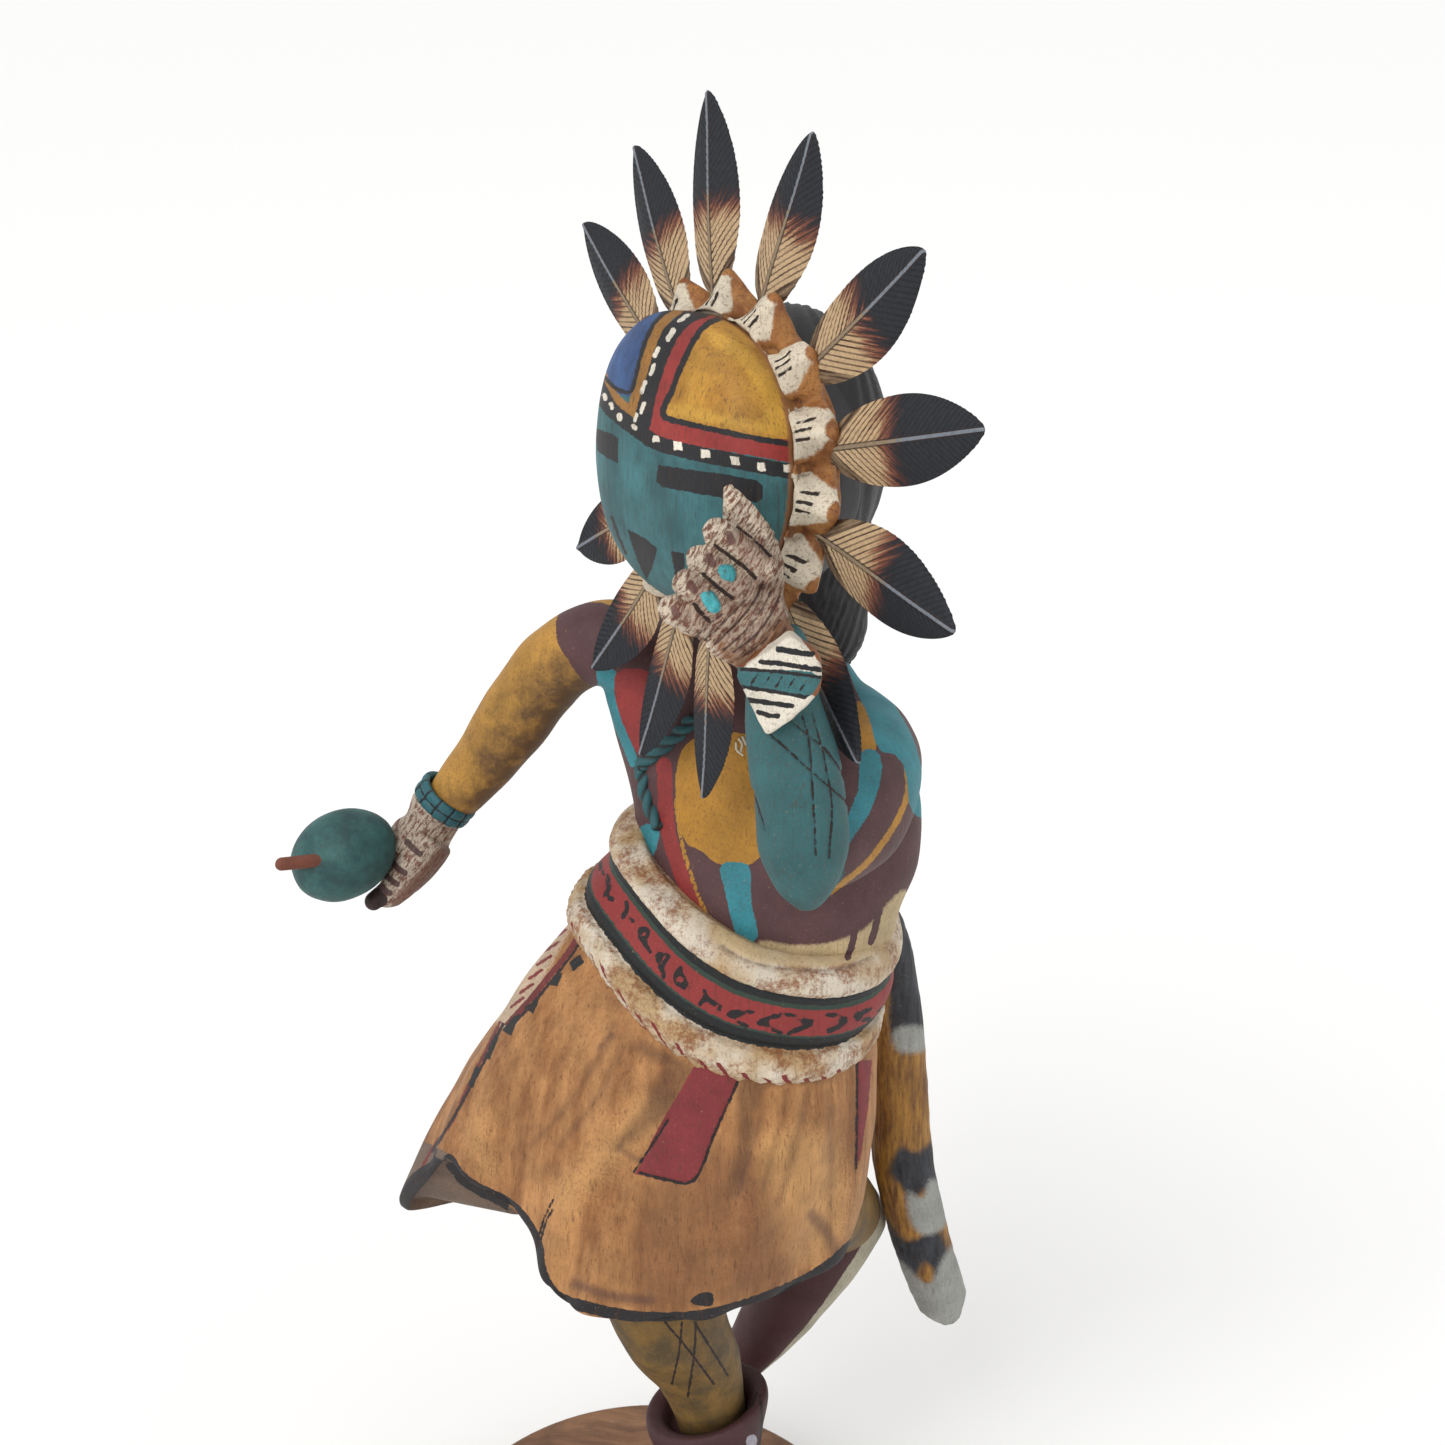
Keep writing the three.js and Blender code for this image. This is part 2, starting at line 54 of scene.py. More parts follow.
# The camera stands where the photograph was taken. Its focal length is in photograph pixels.
PHOTO_SIDE = 1445
FOCAL_PIXELS = 2300
CAMERA_PLACE = np.array([19.6, -464.5, 468.7])
CAMERA_DROP = math.radians(24.4)

MASK_RADIUS = 29.6
MASK_BULGE = 16
MASK_RIM = 5.8
RUFF_RADIUS = 38.2
RUFF_TABS = 15
TAB_HEIGHT = 4
FEATHER_TIP = 71.6
FEATHER_WIDTH = 16
TANG_DEPTH = 4
# Place in degrees clockwise from the crown, backward sweep, reach and breadth.
FEATHERS = [
    (343, 1, 1.03, 0.95), (11, 2, 0.96, 0.95), (44, 1, 1.01, 1), (71, 1, 1.07, 1), (100, 2, 1.02, 1),
    (131, 0, 0.97, 0.85), (159, 8, 0.9, 0.75), (176, 0, 1, 0.85), (195, 0, 1.02, 0.85),
    (214, -2, 0.96, 0.9), (238, 4, 0.9, 0.9), (301, 1, 1.01, 0.9), (321, 1, 1.01, 0.9),
]


# Places and smooth lines


def above(points):
    """Points of the pose, given above the base's top."""
    lifted = np.array(points, float)
    lifted[..., 2] += BASE_TOP
    return lifted


def unit(way):
    return np.array(way, float) / np.linalg.norm(way)


def curve(knots, closed=False):
    """A smooth line through the knots, as a function of shares from 0 to 1 of its spans."""
    knots = np.array(knots, float)
    if closed:
        spans = len(knots)
        padded = np.vstack([knots[-1], knots, knots[0], knots[1]])
    else:
        spans = len(knots) - 1
        padded = np.vstack([2 * knots[0] - knots[1], knots, 2 * knots[-1] - knots[-2]])

    def at(share):
        place = np.clip(share, 0, 1) * spans
        start = np.minimum(place.astype(int), spans - 1)
        w = (place - start)[..., None]
        p0, p1, p2, p3 = (padded[start + k] for k in range(4))
        d0, d1, d2 = (
            np.maximum(np.linalg.norm(b - a, axis=-1, keepdims=True), 1e-6) ** 0.5
            for a, b in ((p0, p1), (p1, p2), (p2, p3))
        )
        t1 = ((p1 - p0) / d0 - (p2 - p0) / (d0 + d1) + (p2 - p1) / d1) * d1
        t2 = ((p2 - p1) / d1 - (p3 - p1) / (d1 + d2) + (p3 - p2) / d2) * d1
        c2 = -3 * p1 + 3 * p2 - 2 * t1 - t2
        c3 = 2 * p1 - 2 * p2 + t1 + t2
        return p1 + t1 * w + c2 * w**2 + c3 * w**3

    return at


def on_photo(spots):
    """Photograph pixels of points, and how many pixels a millimetre spans there."""
    ahead = np.array([0, math.cos(CAMERA_DROP), -math.sin(CAMERA_DROP)])
    up = np.array([0, math.sin(CAMERA_DROP), math.cos(CAMERA_DROP)])
    offset = spots - CAMERA_PLACE
    scale = FOCAL_PIXELS / (offset @ ahead)
    middle = PHOTO_SIDE / 2
    return np.stack([middle + offset[:, 0] * scale, middle - (offset @ up) * scale], 1), scale


# Distances, from which paint edges and carved cuts are drawn


def segment_gap(spots, start, end):
    along = end - start
    share = np.clip(((spots - start) @ along) / max(along @ along, 1e-9), 0, 1)
    return np.linalg.norm(spots - start - share[:, None] * along, axis=1), share


def area(*outline, rounded=True):
    """Distance in pixels from a painted area's outline, negative inside it."""
    steps = 4 * len(outline)
    points = curve(outline, True)(np.arange(steps) / steps) if rounded else np.array(outline, float)

    def gap(spots):
        far = np.full(len(spots), 1e6)
        inside = np.zeros(len(spots), bool)
        for start, end in zip(points, np.roll(points, -1, 0)):
            far = np.minimum(far, segment_gap(spots, start, end)[0])
            rise = end[1] - start[1]
            if abs(rise) > 1e-9:
                crosses = (start[1] > spots[:, 1]) != (end[1] > spots[:, 1])
                where = start[0] + (end[0] - start[0]) * (spots[:, 1] - start[1]) / rise
                inside ^= crosses & (spots[:, 0] < where)
        return np.where(inside, -far, far)

    return gap


def line(width, *points):
    """Distance in pixels from a brush line of the given width."""
    steps = 4 * (len(points) - 1)
    knots = curve(points)(np.arange(steps + 1) / steps)

    def gap(spots):
        far = np.full(len(spots), 1e6)
        for start, end in zip(knots, knots[1:]):
            far = np.minimum(far, segment_gap(spots, start, end)[0])
        return far - width / 2

    return gap


def tube_gap(spots, joints):
    """Distance from the skin of a limb through joints [x, y, z, radius], negative inside it."""
    joints = np.array(joints, float)
    best = np.full(len(spots), 1e6)
    for start, end in zip(joints, joints[1:]):
        gap, share = segment_gap(spots, start[:3], end[:3])
        best = np.minimum(best, gap - start[3] - share * (end[3] - start[3]))
    return best


def grain(spots, size, depth=1):
    """Smooth noise from -1 to 1 at points, with lumps of about the given size."""
    return np.array([noise.noise(Vector(p)) for p in spots / size]) * depth


# Skins


def skin(sides, rows, place, corner_map=None):
    """A closed skin: place gives the point for shares u round it and v along it.

    A corner map gives each corner's place on the paint map from the same shares.
    """
    form = bmesh.new()
    bmesh.ops.create_grid(form, x_segments=sides, y_segments=rows, size=0.5)
    shares = np.array([v.co for v in form.verts]) + 0.5
    u, v = shares[:, 0], shares[:, 1]
    paint_map = form.loops.layers.uv.new("paint_map")
    drawn = np.stack([u, v], 1) if corner_map is None else corner_map(u, v)
    for face in form.faces:
        for loop in face.loops:
            loop[paint_map].uv = drawn[loop.vert.index]
    for vert, spot in zip(form.verts, place(u, v)):
        vert.co = spot
    bmesh.ops.remove_doubles(form, verts=form.verts, dist=1e-3)
    rims = [edge for edge in form.edges if edge.is_boundary]
    if rims:
        bmesh.ops.holes_fill(form, edges=rims, sides=0)
    bmesh.ops.recalc_face_normals(form, faces=form.faces)
    form.normal_update()
    if form.calc_volume(signed=True) < 0:
        bmesh.ops.reverse_faces(form, faces=form.faces)
    return form


def limb(joints, side=(1, 0, 0), sides=64, rows=96, corner_map=None):
    """A limb through joints [x, y, z, half width, half depth] given above the base's top."""
    joints = [[*j, j[3]] if len(j) == 4 else j for j in joints]
    path = curve(above([j[:3] for j in joints]))
    girth = curve([j[3:] for j in joints])

    def place(u, v):
        ends = np.clip(np.minimum(v, 1 - v) / 0.02, 0, 1)
        closing = np.sqrt(1 - (1 - ends) ** 2)[:, None]
        step = 1e-3
        along = path(np.minimum(v + step, 1)) - path(np.maximum(v - step, 0))
        along /= np.linalg.norm(along, axis=1, keepdims=True)
        wide = np.array(side, float) - (along @ np.array(side, float))[:, None] * along
        wide /= np.linalg.norm(wide, axis=1, keepdims=True)
        deep = np.cross(along, wide)
        size = girth(v) * closing
        turn = 2 * np.pi * u
        return (
            path(v)
            + wide * (size[:, :1] * np.cos(turn)[:, None])
            + deep * (size[:, 1:] * np.sin(turn)[:, None])
        )

    return skin(sides, rows, place, corner_map)


def hoops(rings, sides=96, rows=120, turn=0.0):
    """A skin through rings [x, y, z, half width, half depth, slope x, slope y] about the upright."""
    line_through = curve([[*above(ring[:3]), *ring[3:]] for ring in rings])

    def place(u, v):
        ends = np.clip(np.minimum(v, 1 - v) / 0.01, 0, 1)
        x, y, z, wide, deep, slope_x, slope_y = line_through(v).T
        around = 2 * np.pi * u
        across = wide * ends * np.cos(around)
        back = deep * ends * np.sin(around)
        dx = across * math.cos(turn) - back * math.sin(turn)
        dy = across * math.sin(turn) + back * math.cos(turn)
        return np.stack([x + dx, y + dy, z + dx * slope_x + dy * slope_y], 1)

    return skin(sides, rows, place)


def egg(centre, half_axes, way=(1, 0, 0)):
    form = bmesh.new()
    bmesh.ops.create_uvsphere(form, u_segments=48, v_segments=32, radius=1)
    turn = Vector((1, 0, 0)).rotation_difference(Vector(way)).to_matrix().to_4x4()
    place = Matrix.Translation(Vector(centre)) @ turn @ Matrix.Diagonal((*half_axes, 1))
    bmesh.ops.transform(form, matrix=place, verts=form.verts)
    return form


def rod(start, end, radius):
    """A round-ended finger between two points."""
    start, end = Vector(start), Vector(end)
    along = end - start
    form = bmesh.new()
    bmesh.ops.create_uvsphere(form, u_segments=32, v_segments=24, radius=radius)
    far = [v for v in form.verts if v.co.z > 1e-4]
    bmesh.ops.translate(form, vec=(0, 0, along.length), verts=far)
    turn = Vector((0, 0, 1)).rotation_difference(along).to_matrix().to_4x4()
    bmesh.ops.transform(form, matrix=Matrix.Translation(start) @ turn, verts=form.verts)
    return form


def fuse(forms, voxel, smoothing=3):
    """Joins overlapping closed skins into one carving with soft inner corners."""
    whole = bmesh.new()
    for form in forms:
        part = bpy.data.meshes.new("part")
        form.to_mesh(part)
        whole.from_mesh(part)
        form.free()
        bpy.data.meshes.remove(part)
    mesh = bpy.data.meshes.new("block")
    whole.to_mesh(mesh)
    block = bpy.data.objects.new("block", mesh)
    bpy.context.scene.collection.objects.link(block)
    remesh = block.modifiers.new("carved_whole", "REMESH")
    remesh.mode = "VOXEL"
    remesh.voxel_size = voxel
    depsgraph = bpy.context.evaluated_depsgraph_get()
    carved = bpy.data.meshes.new_from_object(block.evaluated_get(depsgraph))
    whole.clear()
    whole.from_mesh(carved)
    bpy.data.objects.remove(block)
    bpy.data.meshes.remove(mesh)
    bpy.data.meshes.remove(carved)
    for _ in range(smoothing):
        bmesh.ops.smooth_vert(
            whole, verts=whole.verts, factor=0.5, use_axis_x=True, use_axis_y=True, use_axis_z=True
        )
    bmesh.ops.recalc_face_normals(whole, faces=whole.faces)
    whole.normal_update()
    return whole


def spots_of(form):
    return np.array([v.co for v in form.verts])


def shares_of(form):
    """Each vertex's share round its skin and along it, from the paint map."""
    paint_map = form.loops.layers.uv["paint_map"]
    return np.array([v.link_loops[0][paint_map].uv for v in form.verts]).T


def sink(form, depth):
    """Cuts each vertex inwards along its normal by its own depth in millimetres."""
    form.normal_update()
    moves = [(v, v.normal * float(d)) for v, d in zip(form.verts, depth)]
    for vert, move in moves:
        vert.co -= move


def whittle(form, size, depth, seed=0.0):
    """The soft unevenness that a knife and sandpaper leave on cottonwood."""
    sink(form, grain(spots_of(form) + seed, size, depth))


def refine(form, gap, reach=0.9, cuts=2):
    """Splits the faces near painted lines, so that a thin line keeps its edges."""
    near = gap(spots_of(form)) < reach
    form.verts.index_update()
    edges = [e for e in form.edges if near[e.verts[0].index] and near[e.verts[1].index]]
    bmesh.ops.subdivide_edges(form, edges=edges, cuts=cuts, use_grid_fill=True)
    form.verts.index_update()
    form.normal_update()


def drawn(shapes, zone=None):
    """Distance in millimetres from the nearest of several shapes drawn in photograph pixels."""

    def gap(spots):
        pixels, scale = on_photo(spots)
        near = np.minimum.reduce([shape(pixels) / scale for shape in shapes])
        return near if zone is None else np.maximum(near, zone(spots))

    return gap


# Colours and materials


def linear(hex_colour):
    """A linear colour from an sRGB hex value."""
    channels = [int(hex_colour[i : i + 2], 16) / 255 for i in (1, 3, 5)]
    return (*[c / 12.92 if c <= 0.04045 else ((c + 0.055) / 1.055) ** 2.4 for c in channels], 1)


def maker(material):
    """The one function that adds a node to a material, with its settings and its inputs."""
    material.use_nodes = True
    tree = material.node_tree
    tree.nodes.clear()

    def add(kind, inputs=(), **settings):
        made = tree.nodes.new("ShaderNode" + kind)
        for name, value in settings.items():
            setattr(made, name, value)
        for socket, value in dict(inputs).items():
            if isinstance(value, bpy.types.NodeSocket):
                tree.links.new(value, made.inputs[socket])
            else:
                made.inputs[socket].default_value = value
        return made

    return add


METRE_TO_MM = 1000
EDGE_SOFTNESS = 0.07  # millimetres over which one paint gives way to the next
BRUSH_WOBBLE = 0.14  # how far a hand-painted edge wanders, in millimetres
FACTOR, FIRST, SECOND = 0, 6, 7  # the Mix node's colour sockets
MIXED = 2


def painted_wood(
    name, ground, layers=(), grain_way=(1, 1, 0.05), roughness=0.62, wear="#b58a5c", worn=0.1,
    grime="#3a2c22", grimy=0.35, mottle=0.24, bump=0.2, grained=0.4,
):
    """Thin matt paint over carved cottonwood: brush streaks, wandering edges, grime and bare specks.

    Each layer is the name of its edge's attribute and its colour, and may end with how soft the
    edge is in millimetres and how much of the colour covers.
    """
    material = bpy.data.materials.new(name)
    add = maker(material)
    place = add("TexCoord").outputs["Object"]
    spot = add("VectorMath", {0: place, "Scale": METRE_TO_MM}, operation="SCALE").outputs[0]
    along_grain = add("VectorMath", {0: spot, 1: grain_way}, operation="MULTIPLY").outputs[0]
    wander = add("TexNoise", {"Vector": spot, "Scale": 0.7, "Detail": 2.0, "Roughness": 0.6})
    wobble = add(
        "MapRange", {"Value": wander.outputs["Fac"], 1: 0.3, 2: 0.7, 3: -BRUSH_WOBBLE, 4: BRUSH_WOBBLE}
    ).outputs[0]
    specks = add("TexNoise", {"Vector": spot, "Scale": 1.5, "Detail": 6.0, "Roughness": 0.75}).outputs["Fac"]
    colour = linear(ground) if isinstance(ground, str) else ground(add, spot)
    for attribute, shade, *finish in layers:
        softness, strength = finish or (EDGE_SOFTNESS, 1.0)
        reach = add("Attribute", attribute_name=attribute).outputs["Fac"]
        edge = add("Math", {0: reach, 1: wobble}, operation="ADD").outputs[0]
        if softness > EDGE_SOFTNESS:
            # A rubbed edge breaks up over the grain.
            edge = add("Math", {0: specks, 1: softness * 2.5, 2: edge}, operation="MULTIPLY_ADD").outputs[0]
            edge = add("Math", {0: edge, 1: softness * 1.25}, operation="SUBTRACT").outputs[0]
        cover = add(
            "MapRange", {"Value": edge, 1: -softness, 2: softness, 3: strength, 4: 0.0},
            interpolation_type="SMOOTHSTEP",
        ).outputs[0]
        shade = linear(shade) if isinstance(shade, str) else shade(add, spot)
        colour = add("Mix", {FACTOR: cover, FIRST: colour, SECOND: shade}, data_type="RGBA").outputs[MIXED]
    # Brush streaks follow the grain, 0.7 mm apart, over slow blotches of 8 mm.
    streaks = add("TexNoise", {"Vector": along_grain, "Scale": 1.5, "Detail": 6.0,
        "Roughness": 0.72}).outputs["Fac"]
    blotches = add("TexNoise", {"Vector": spot, "Scale": 0.12, "Detail": 4.0,
        "Roughness": 0.6}).outputs["Fac"]
    both = add("Math", {0: streaks, 1: blotches}, operation="ADD").outputs[0]
    shade = add("MapRange", {"Value": both, 1: 0.75, 2: 1.25, 3: 1 - mottle, 4: 1 + mottle}).outputs[0]
    shaded = add("HueSaturation", {"Value": shade, "Color": colour}).outputs[0]
    # Dark pores of the wood show through the paint as short lines.
    pores = add("MapRange", {"Value": streaks, 1: 0.53, 2: 0.64, 3: 0.0, 4: grained}).outputs[0]
    lined = add("Mix", {FACTOR: pores, FIRST: shaded, SECOND: linear(grime)},
        data_type="RGBA").outputs[MIXED]
    dirt = add("MapRange", {"Value": specks, 1: 0.53, 2: 0.66, 3: 0.0, 4: grimy}).outputs[0]
    dirty = add("Mix", {FACTOR: dirt, FIRST: lined, SECOND: linear(grime)}, data_type="RGBA").outputs[MIXED]
    rubbed = add("MapRange", {"Value": specks, 1: 0.38, 2: 0.3, 3: 0.0, 4: worn * 6}).outputs[0]
    bare = add("Mix", {FACTOR: rubbed, FIRST: dirty, SECOND: linear(wear)}, data_type="RGBA").outputs[MIXED]
    # Cuts are darkened by their depth: the dark paint and dirt they hold, and painted shade.
    hollow = add("Attribute", attribute_name="cut").outputs["Fac"]
    deep = add("MapRange", {"Value": hollow, 1: 0.15, 2: 0.8, 3: 0.0, 4: 0.85}).outputs[0]
    final = add("Mix", {FACTOR: deep, FIRST: bare, SECOND: linear("#2a1d18")},
        data_type="RGBA").outputs[MIXED]
    gloss = add("MapRange", {"Value": streaks, 1: 0.3, 2: 0.7, 3: roughness - 0.08, 4: roughness + 0.1})
    height = add("Math", {0: streaks, 1: specks}, operation="ADD").outputs[0]
    relief = add("Bump", {"Height": height, "Strength": bump, "Distance": 0.0004}).outputs[0]
    surface = add(
        "BsdfPrincipled",
        {"Base Color": final, "Roughness": gloss.outputs[0], "Normal": relief, "Specular IOR Level": 0.35},
    )
    add("OutputMaterial", {"Surface": surface.outputs[0]})
    return material


def mottled(low, high, size=0.12, drawn_out=(1, 1, 0.35)):
    """Paint that drifts between two shades, in patches drawn out along the brush's way."""

    def ground(add, spot):
        stretched = add("VectorMath", {0: spot, 1: drawn_out}, operation="MULTIPLY").outputs[0]
        patch = add("TexNoise", {"Vector": stretched, "Scale": size, "Detail": 6.0,
            "Roughness": 0.65}).outputs["Fac"]
        amount = add("MapRange", {"Value": patch, 1: 0.38, 2: 0.62, 3: 0.0, 4: 1.0}).outputs[0]
        return add("Mix", {FACTOR: amount, FIRST: linear(low), SECOND: linear(high)},
            data_type="RGBA").outputs[MIXED]

    return ground


def finish_piece(name, form, material, nodes, layers=(), cuts=None, clip_back=True):
    """Makes a form, still in millimetres, into a piece of the doll with its paint layers.

    Each layer is a name, its shapes in photograph pixels and, if only a part of the piece takes it,
    a zone that gives the distance in millimetres from points.
    """
    mesh = bpy.data.meshes.new(name)
    form.normal_update()
    spots = spots_of(form)
    normals = np.array([v.normal for v in form.verts])
    bmesh.ops.scale(form, vec=(MM, MM, MM), verts=form.verts)
    form.to_mesh(mesh)
    form.free()
    mesh.shade_smooth()
    pixels, scale = on_photo(spots)
    to_camera = CAMERA_PLACE - spots
    to_camera /= np.linalg.norm(to_camera, axis=1, keepdims=True)
    away = -np.einsum("ij,ij->i", normals, to_camera)
    for attribute, shapes, zone in layers:
        gap = np.full(len(spots), 50.0)
        if shapes:
            for shape in shapes:
                gap = np.minimum(gap, shape(pixels) / scale)
            if clip_back:
                gap = np.maximum(gap, (away - 0.15) * 8)
            if zone is not None:
                gap = np.maximum(gap, zone(spots))
        else:
            gap = zone(spots)
        values = mesh.attributes.new(attribute, "FLOAT", "POINT")
        values.data.foreach_set("value", gap.astype(np.float32))
    values = mesh.attributes.new("cut", "FLOAT", "POINT")
    depth = np.zeros(len(spots)) if cuts is None else cuts
    values.data.foreach_set("value", depth.astype(np.float32))
    mesh.materials.append(material)
    piece = bpy.data.objects.new(name, mesh)
    bpy.context.scene.collection.objects.link(piece)
    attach(piece, "root")
    for node in nodes:
        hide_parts(node)
    return piece


# Paints of the doll, as sRGB.
TEAL = "#356568"
TURQUOISE = "#2f7f8a"
YELLOW = "#a8782a"
RED = "#8a302f"
MAROON = "#523638"
WHITE = "#d9d0c0"
BLACK = "#1b1c20"
BELT_GREEN = "#2a3d34"


# Base


def make_base():
    edge = 1.6
    form = bmesh.new()
    corners = [
        (0, 0), (BASE_RADIUS - edge, 0), (BASE_RADIUS, edge), (BASE_RADIUS, BASE_TOP - edge),
        (BASE_RADIUS - edge, BASE_TOP), (BASE_RADIUS * 0.5, BASE_TOP), (0, BASE_TOP),
    ]
    verts = [form.verts.new((radius, 0, height)) for radius, height in corners]
    for a, b in zip(verts, verts[1:]):
        form.edges.new((a, b))
    bmesh.ops.spin(
        form, geom=form.verts[:] + form.edges[:], cent=(0, 0, 0), axis=(0, 0, 1),
        angle=2 * math.pi, steps=96, use_merge=True,
    )
    bmesh.ops.remove_doubles(form, verts=form.verts, dist=1e-3)
    bmesh.ops.recalc_face_normals(form, faces=form.faces)
    rims = [
        e for e in form.edges
        if len(e.link_faces) == 2 and e.calc_face_angle(0) > 0.6
        and all(math.hypot(*v.co.xy) > BASE_RADIUS * 0.9 for v in e.verts)
    ]
    bmesh.ops.bevel(
        form, geom=rims, offset=0.7, offset_type="OFFSET", affect="EDGES", segments=3, profile=0.5,
        material=-1
    )
    # Cottonwood slab: plain sawn wood darkened by handling, with long brown grain across the top.
    material = bpy.data.materials.new("sawn_cottonwood")
    add = maker(material)
    spot = add("VectorMath", {0: add("TexCoord").outputs["Object"], "Scale": METRE_TO_MM},
        operation="SCALE").outputs[0]
    bent = add("TexNoise", {"Vector": spot, "Scale": 0.02, "Detail": 2.0})
    swing = add("VectorMath", {0: bent.outputs["Color"], "Scale": 22.0}, operation="SCALE").outputs[0]
    swung = add("VectorMath", {0: spot, 1: swing}, operation="ADD").outputs[0]
    long_way = add("VectorMath", {0: swung, 1: (0.05, 1.0, 1.0)}, operation="MULTIPLY").outputs[0]
    rings = add("TexNoise", {"Vector": long_way, "Scale": 0.28, "Detail": 4.0,
        "Roughness": 0.6}).outputs["Fac"]
    pores = add("TexNoise", {"Vector": long_way, "Scale": 2.2, "Detail": 6.0,
        "Roughness": 0.7}).outputs["Fac"]
    stain = add("TexNoise", {"Vector": spot, "Scale": 0.06, "Detail": 5.0, "Roughness": 0.7}).outputs["Fac"]
    wood = add("ValToRGB", {"Fac": rings})
    for position, shade in zip((0.3, 0.5, 0.7), ("#644430", "#7d573c", "#8f6848")):
        stop = wood.color_ramp.elements.new(position)
        stop.color = linear(shade)
    dark = add("MapRange", {"Value": stain, 1: 0.48, 2: 0.72, 3: 0.0, 4: 0.7}).outputs[0]
    stained = add(
        "Mix", {FACTOR: dark, FIRST: wood.outputs[0], SECOND: linear("#422c20")}, data_type="RGBA"
    ).outputs[MIXED]
    fine = add("MapRange", {"Value": pores, 1: 0.3, 2: 0.7, 3: 0.82, 4: 1.1}).outputs[0]
    shaded = add("HueSaturation", {"Value": fine, "Color": stained}).outputs[0]
    relief = add("Bump", {"Height": pores, "Strength": 0.25, "Distance": 0.0004}).outputs[0]
    surface = add("BsdfPrincipled", {"Base Color": shaded, "Roughness": 0.6, "Normal": relief, "IOR": 1.45})
    add("OutputMaterial", {"Surface": surface.outputs[0]})
    finish_piece("base_slab", form, material, ["base"])


# Torso and arms


RATTLE_ARM = [
    [6, 16, 246, 10.4], [-7, 20, 251, 9.8], [-17.4, 24, 245, 9], [-27.2, 28, 231.6, 9],
    [-35.6, 30, 218.5, 7.8], [-43.6, 31, 208, 6.7], [-48, 31, 203, 5.9], [-52, 30, 198, 6.4],
]
UPPER_ARM = [
    [44, 10, 234, 13], [49, -6, 235.5, 13.4], [48.6, -24, 237.4, 13.2], [44.8, -42, 237, 12],
    [38.5, -58, 238.5, 8.5], [36, -66, 240, 4],
]
FOREARM = [
    [36.4, -65, 229.5, 2.4], [36, -66, 236, 6.6], [35.2, -67, 246, 9], [34, -66.5, 257.8, 9],
    [32, -64.5, 267.2, 8.2], [31, -62, 273.5, 7.2], [31, -60, 279, 6.4], [29, -60, 286, 5.6],
]
CHEST_TURN = math.radians(-25)
CHEST = [
    [28, 2, 186, 31, 28, -0.34, 0.11], [30, 4, 204, 31, 27, -0.3, 0.1], [31, 7, 214, 34.6, 26, -0.2, 0.05],
    [29, 10, 228, 36.4, 24, -0.12, 0], [24, 14, 241, 33.6, 20.5, -0.08, 0], [23, 16, 251, 26, 16, -0.04, 0],
    [23.5, 14, 258, 16, 12.5, 0, 0], [23, 8, 266, 11, 11, 0, 0.3], [22, -4, 282, 11, 11, 0, 0.4],
]


def forearm_zone(spots):
    """Distance from the lifted forearm, negative on it."""
    joints = [[*above(j[:3]), j[3]] for j in FOREARM]
    return tube_gap(spots, joints) - 1.6


def off_forearm(spots):
    return -forearm_zone(spots)


def rattle_arm_zone(spots):
    """The doll's right arm from its shoulder, negative on it."""
    joints = [[*above(j[:3]), j[3]] for j in RATTLE_ARM[1:]]
    return np.maximum(tube_gap(spots, joints) - 2.5, spots[:, 0] - 6)


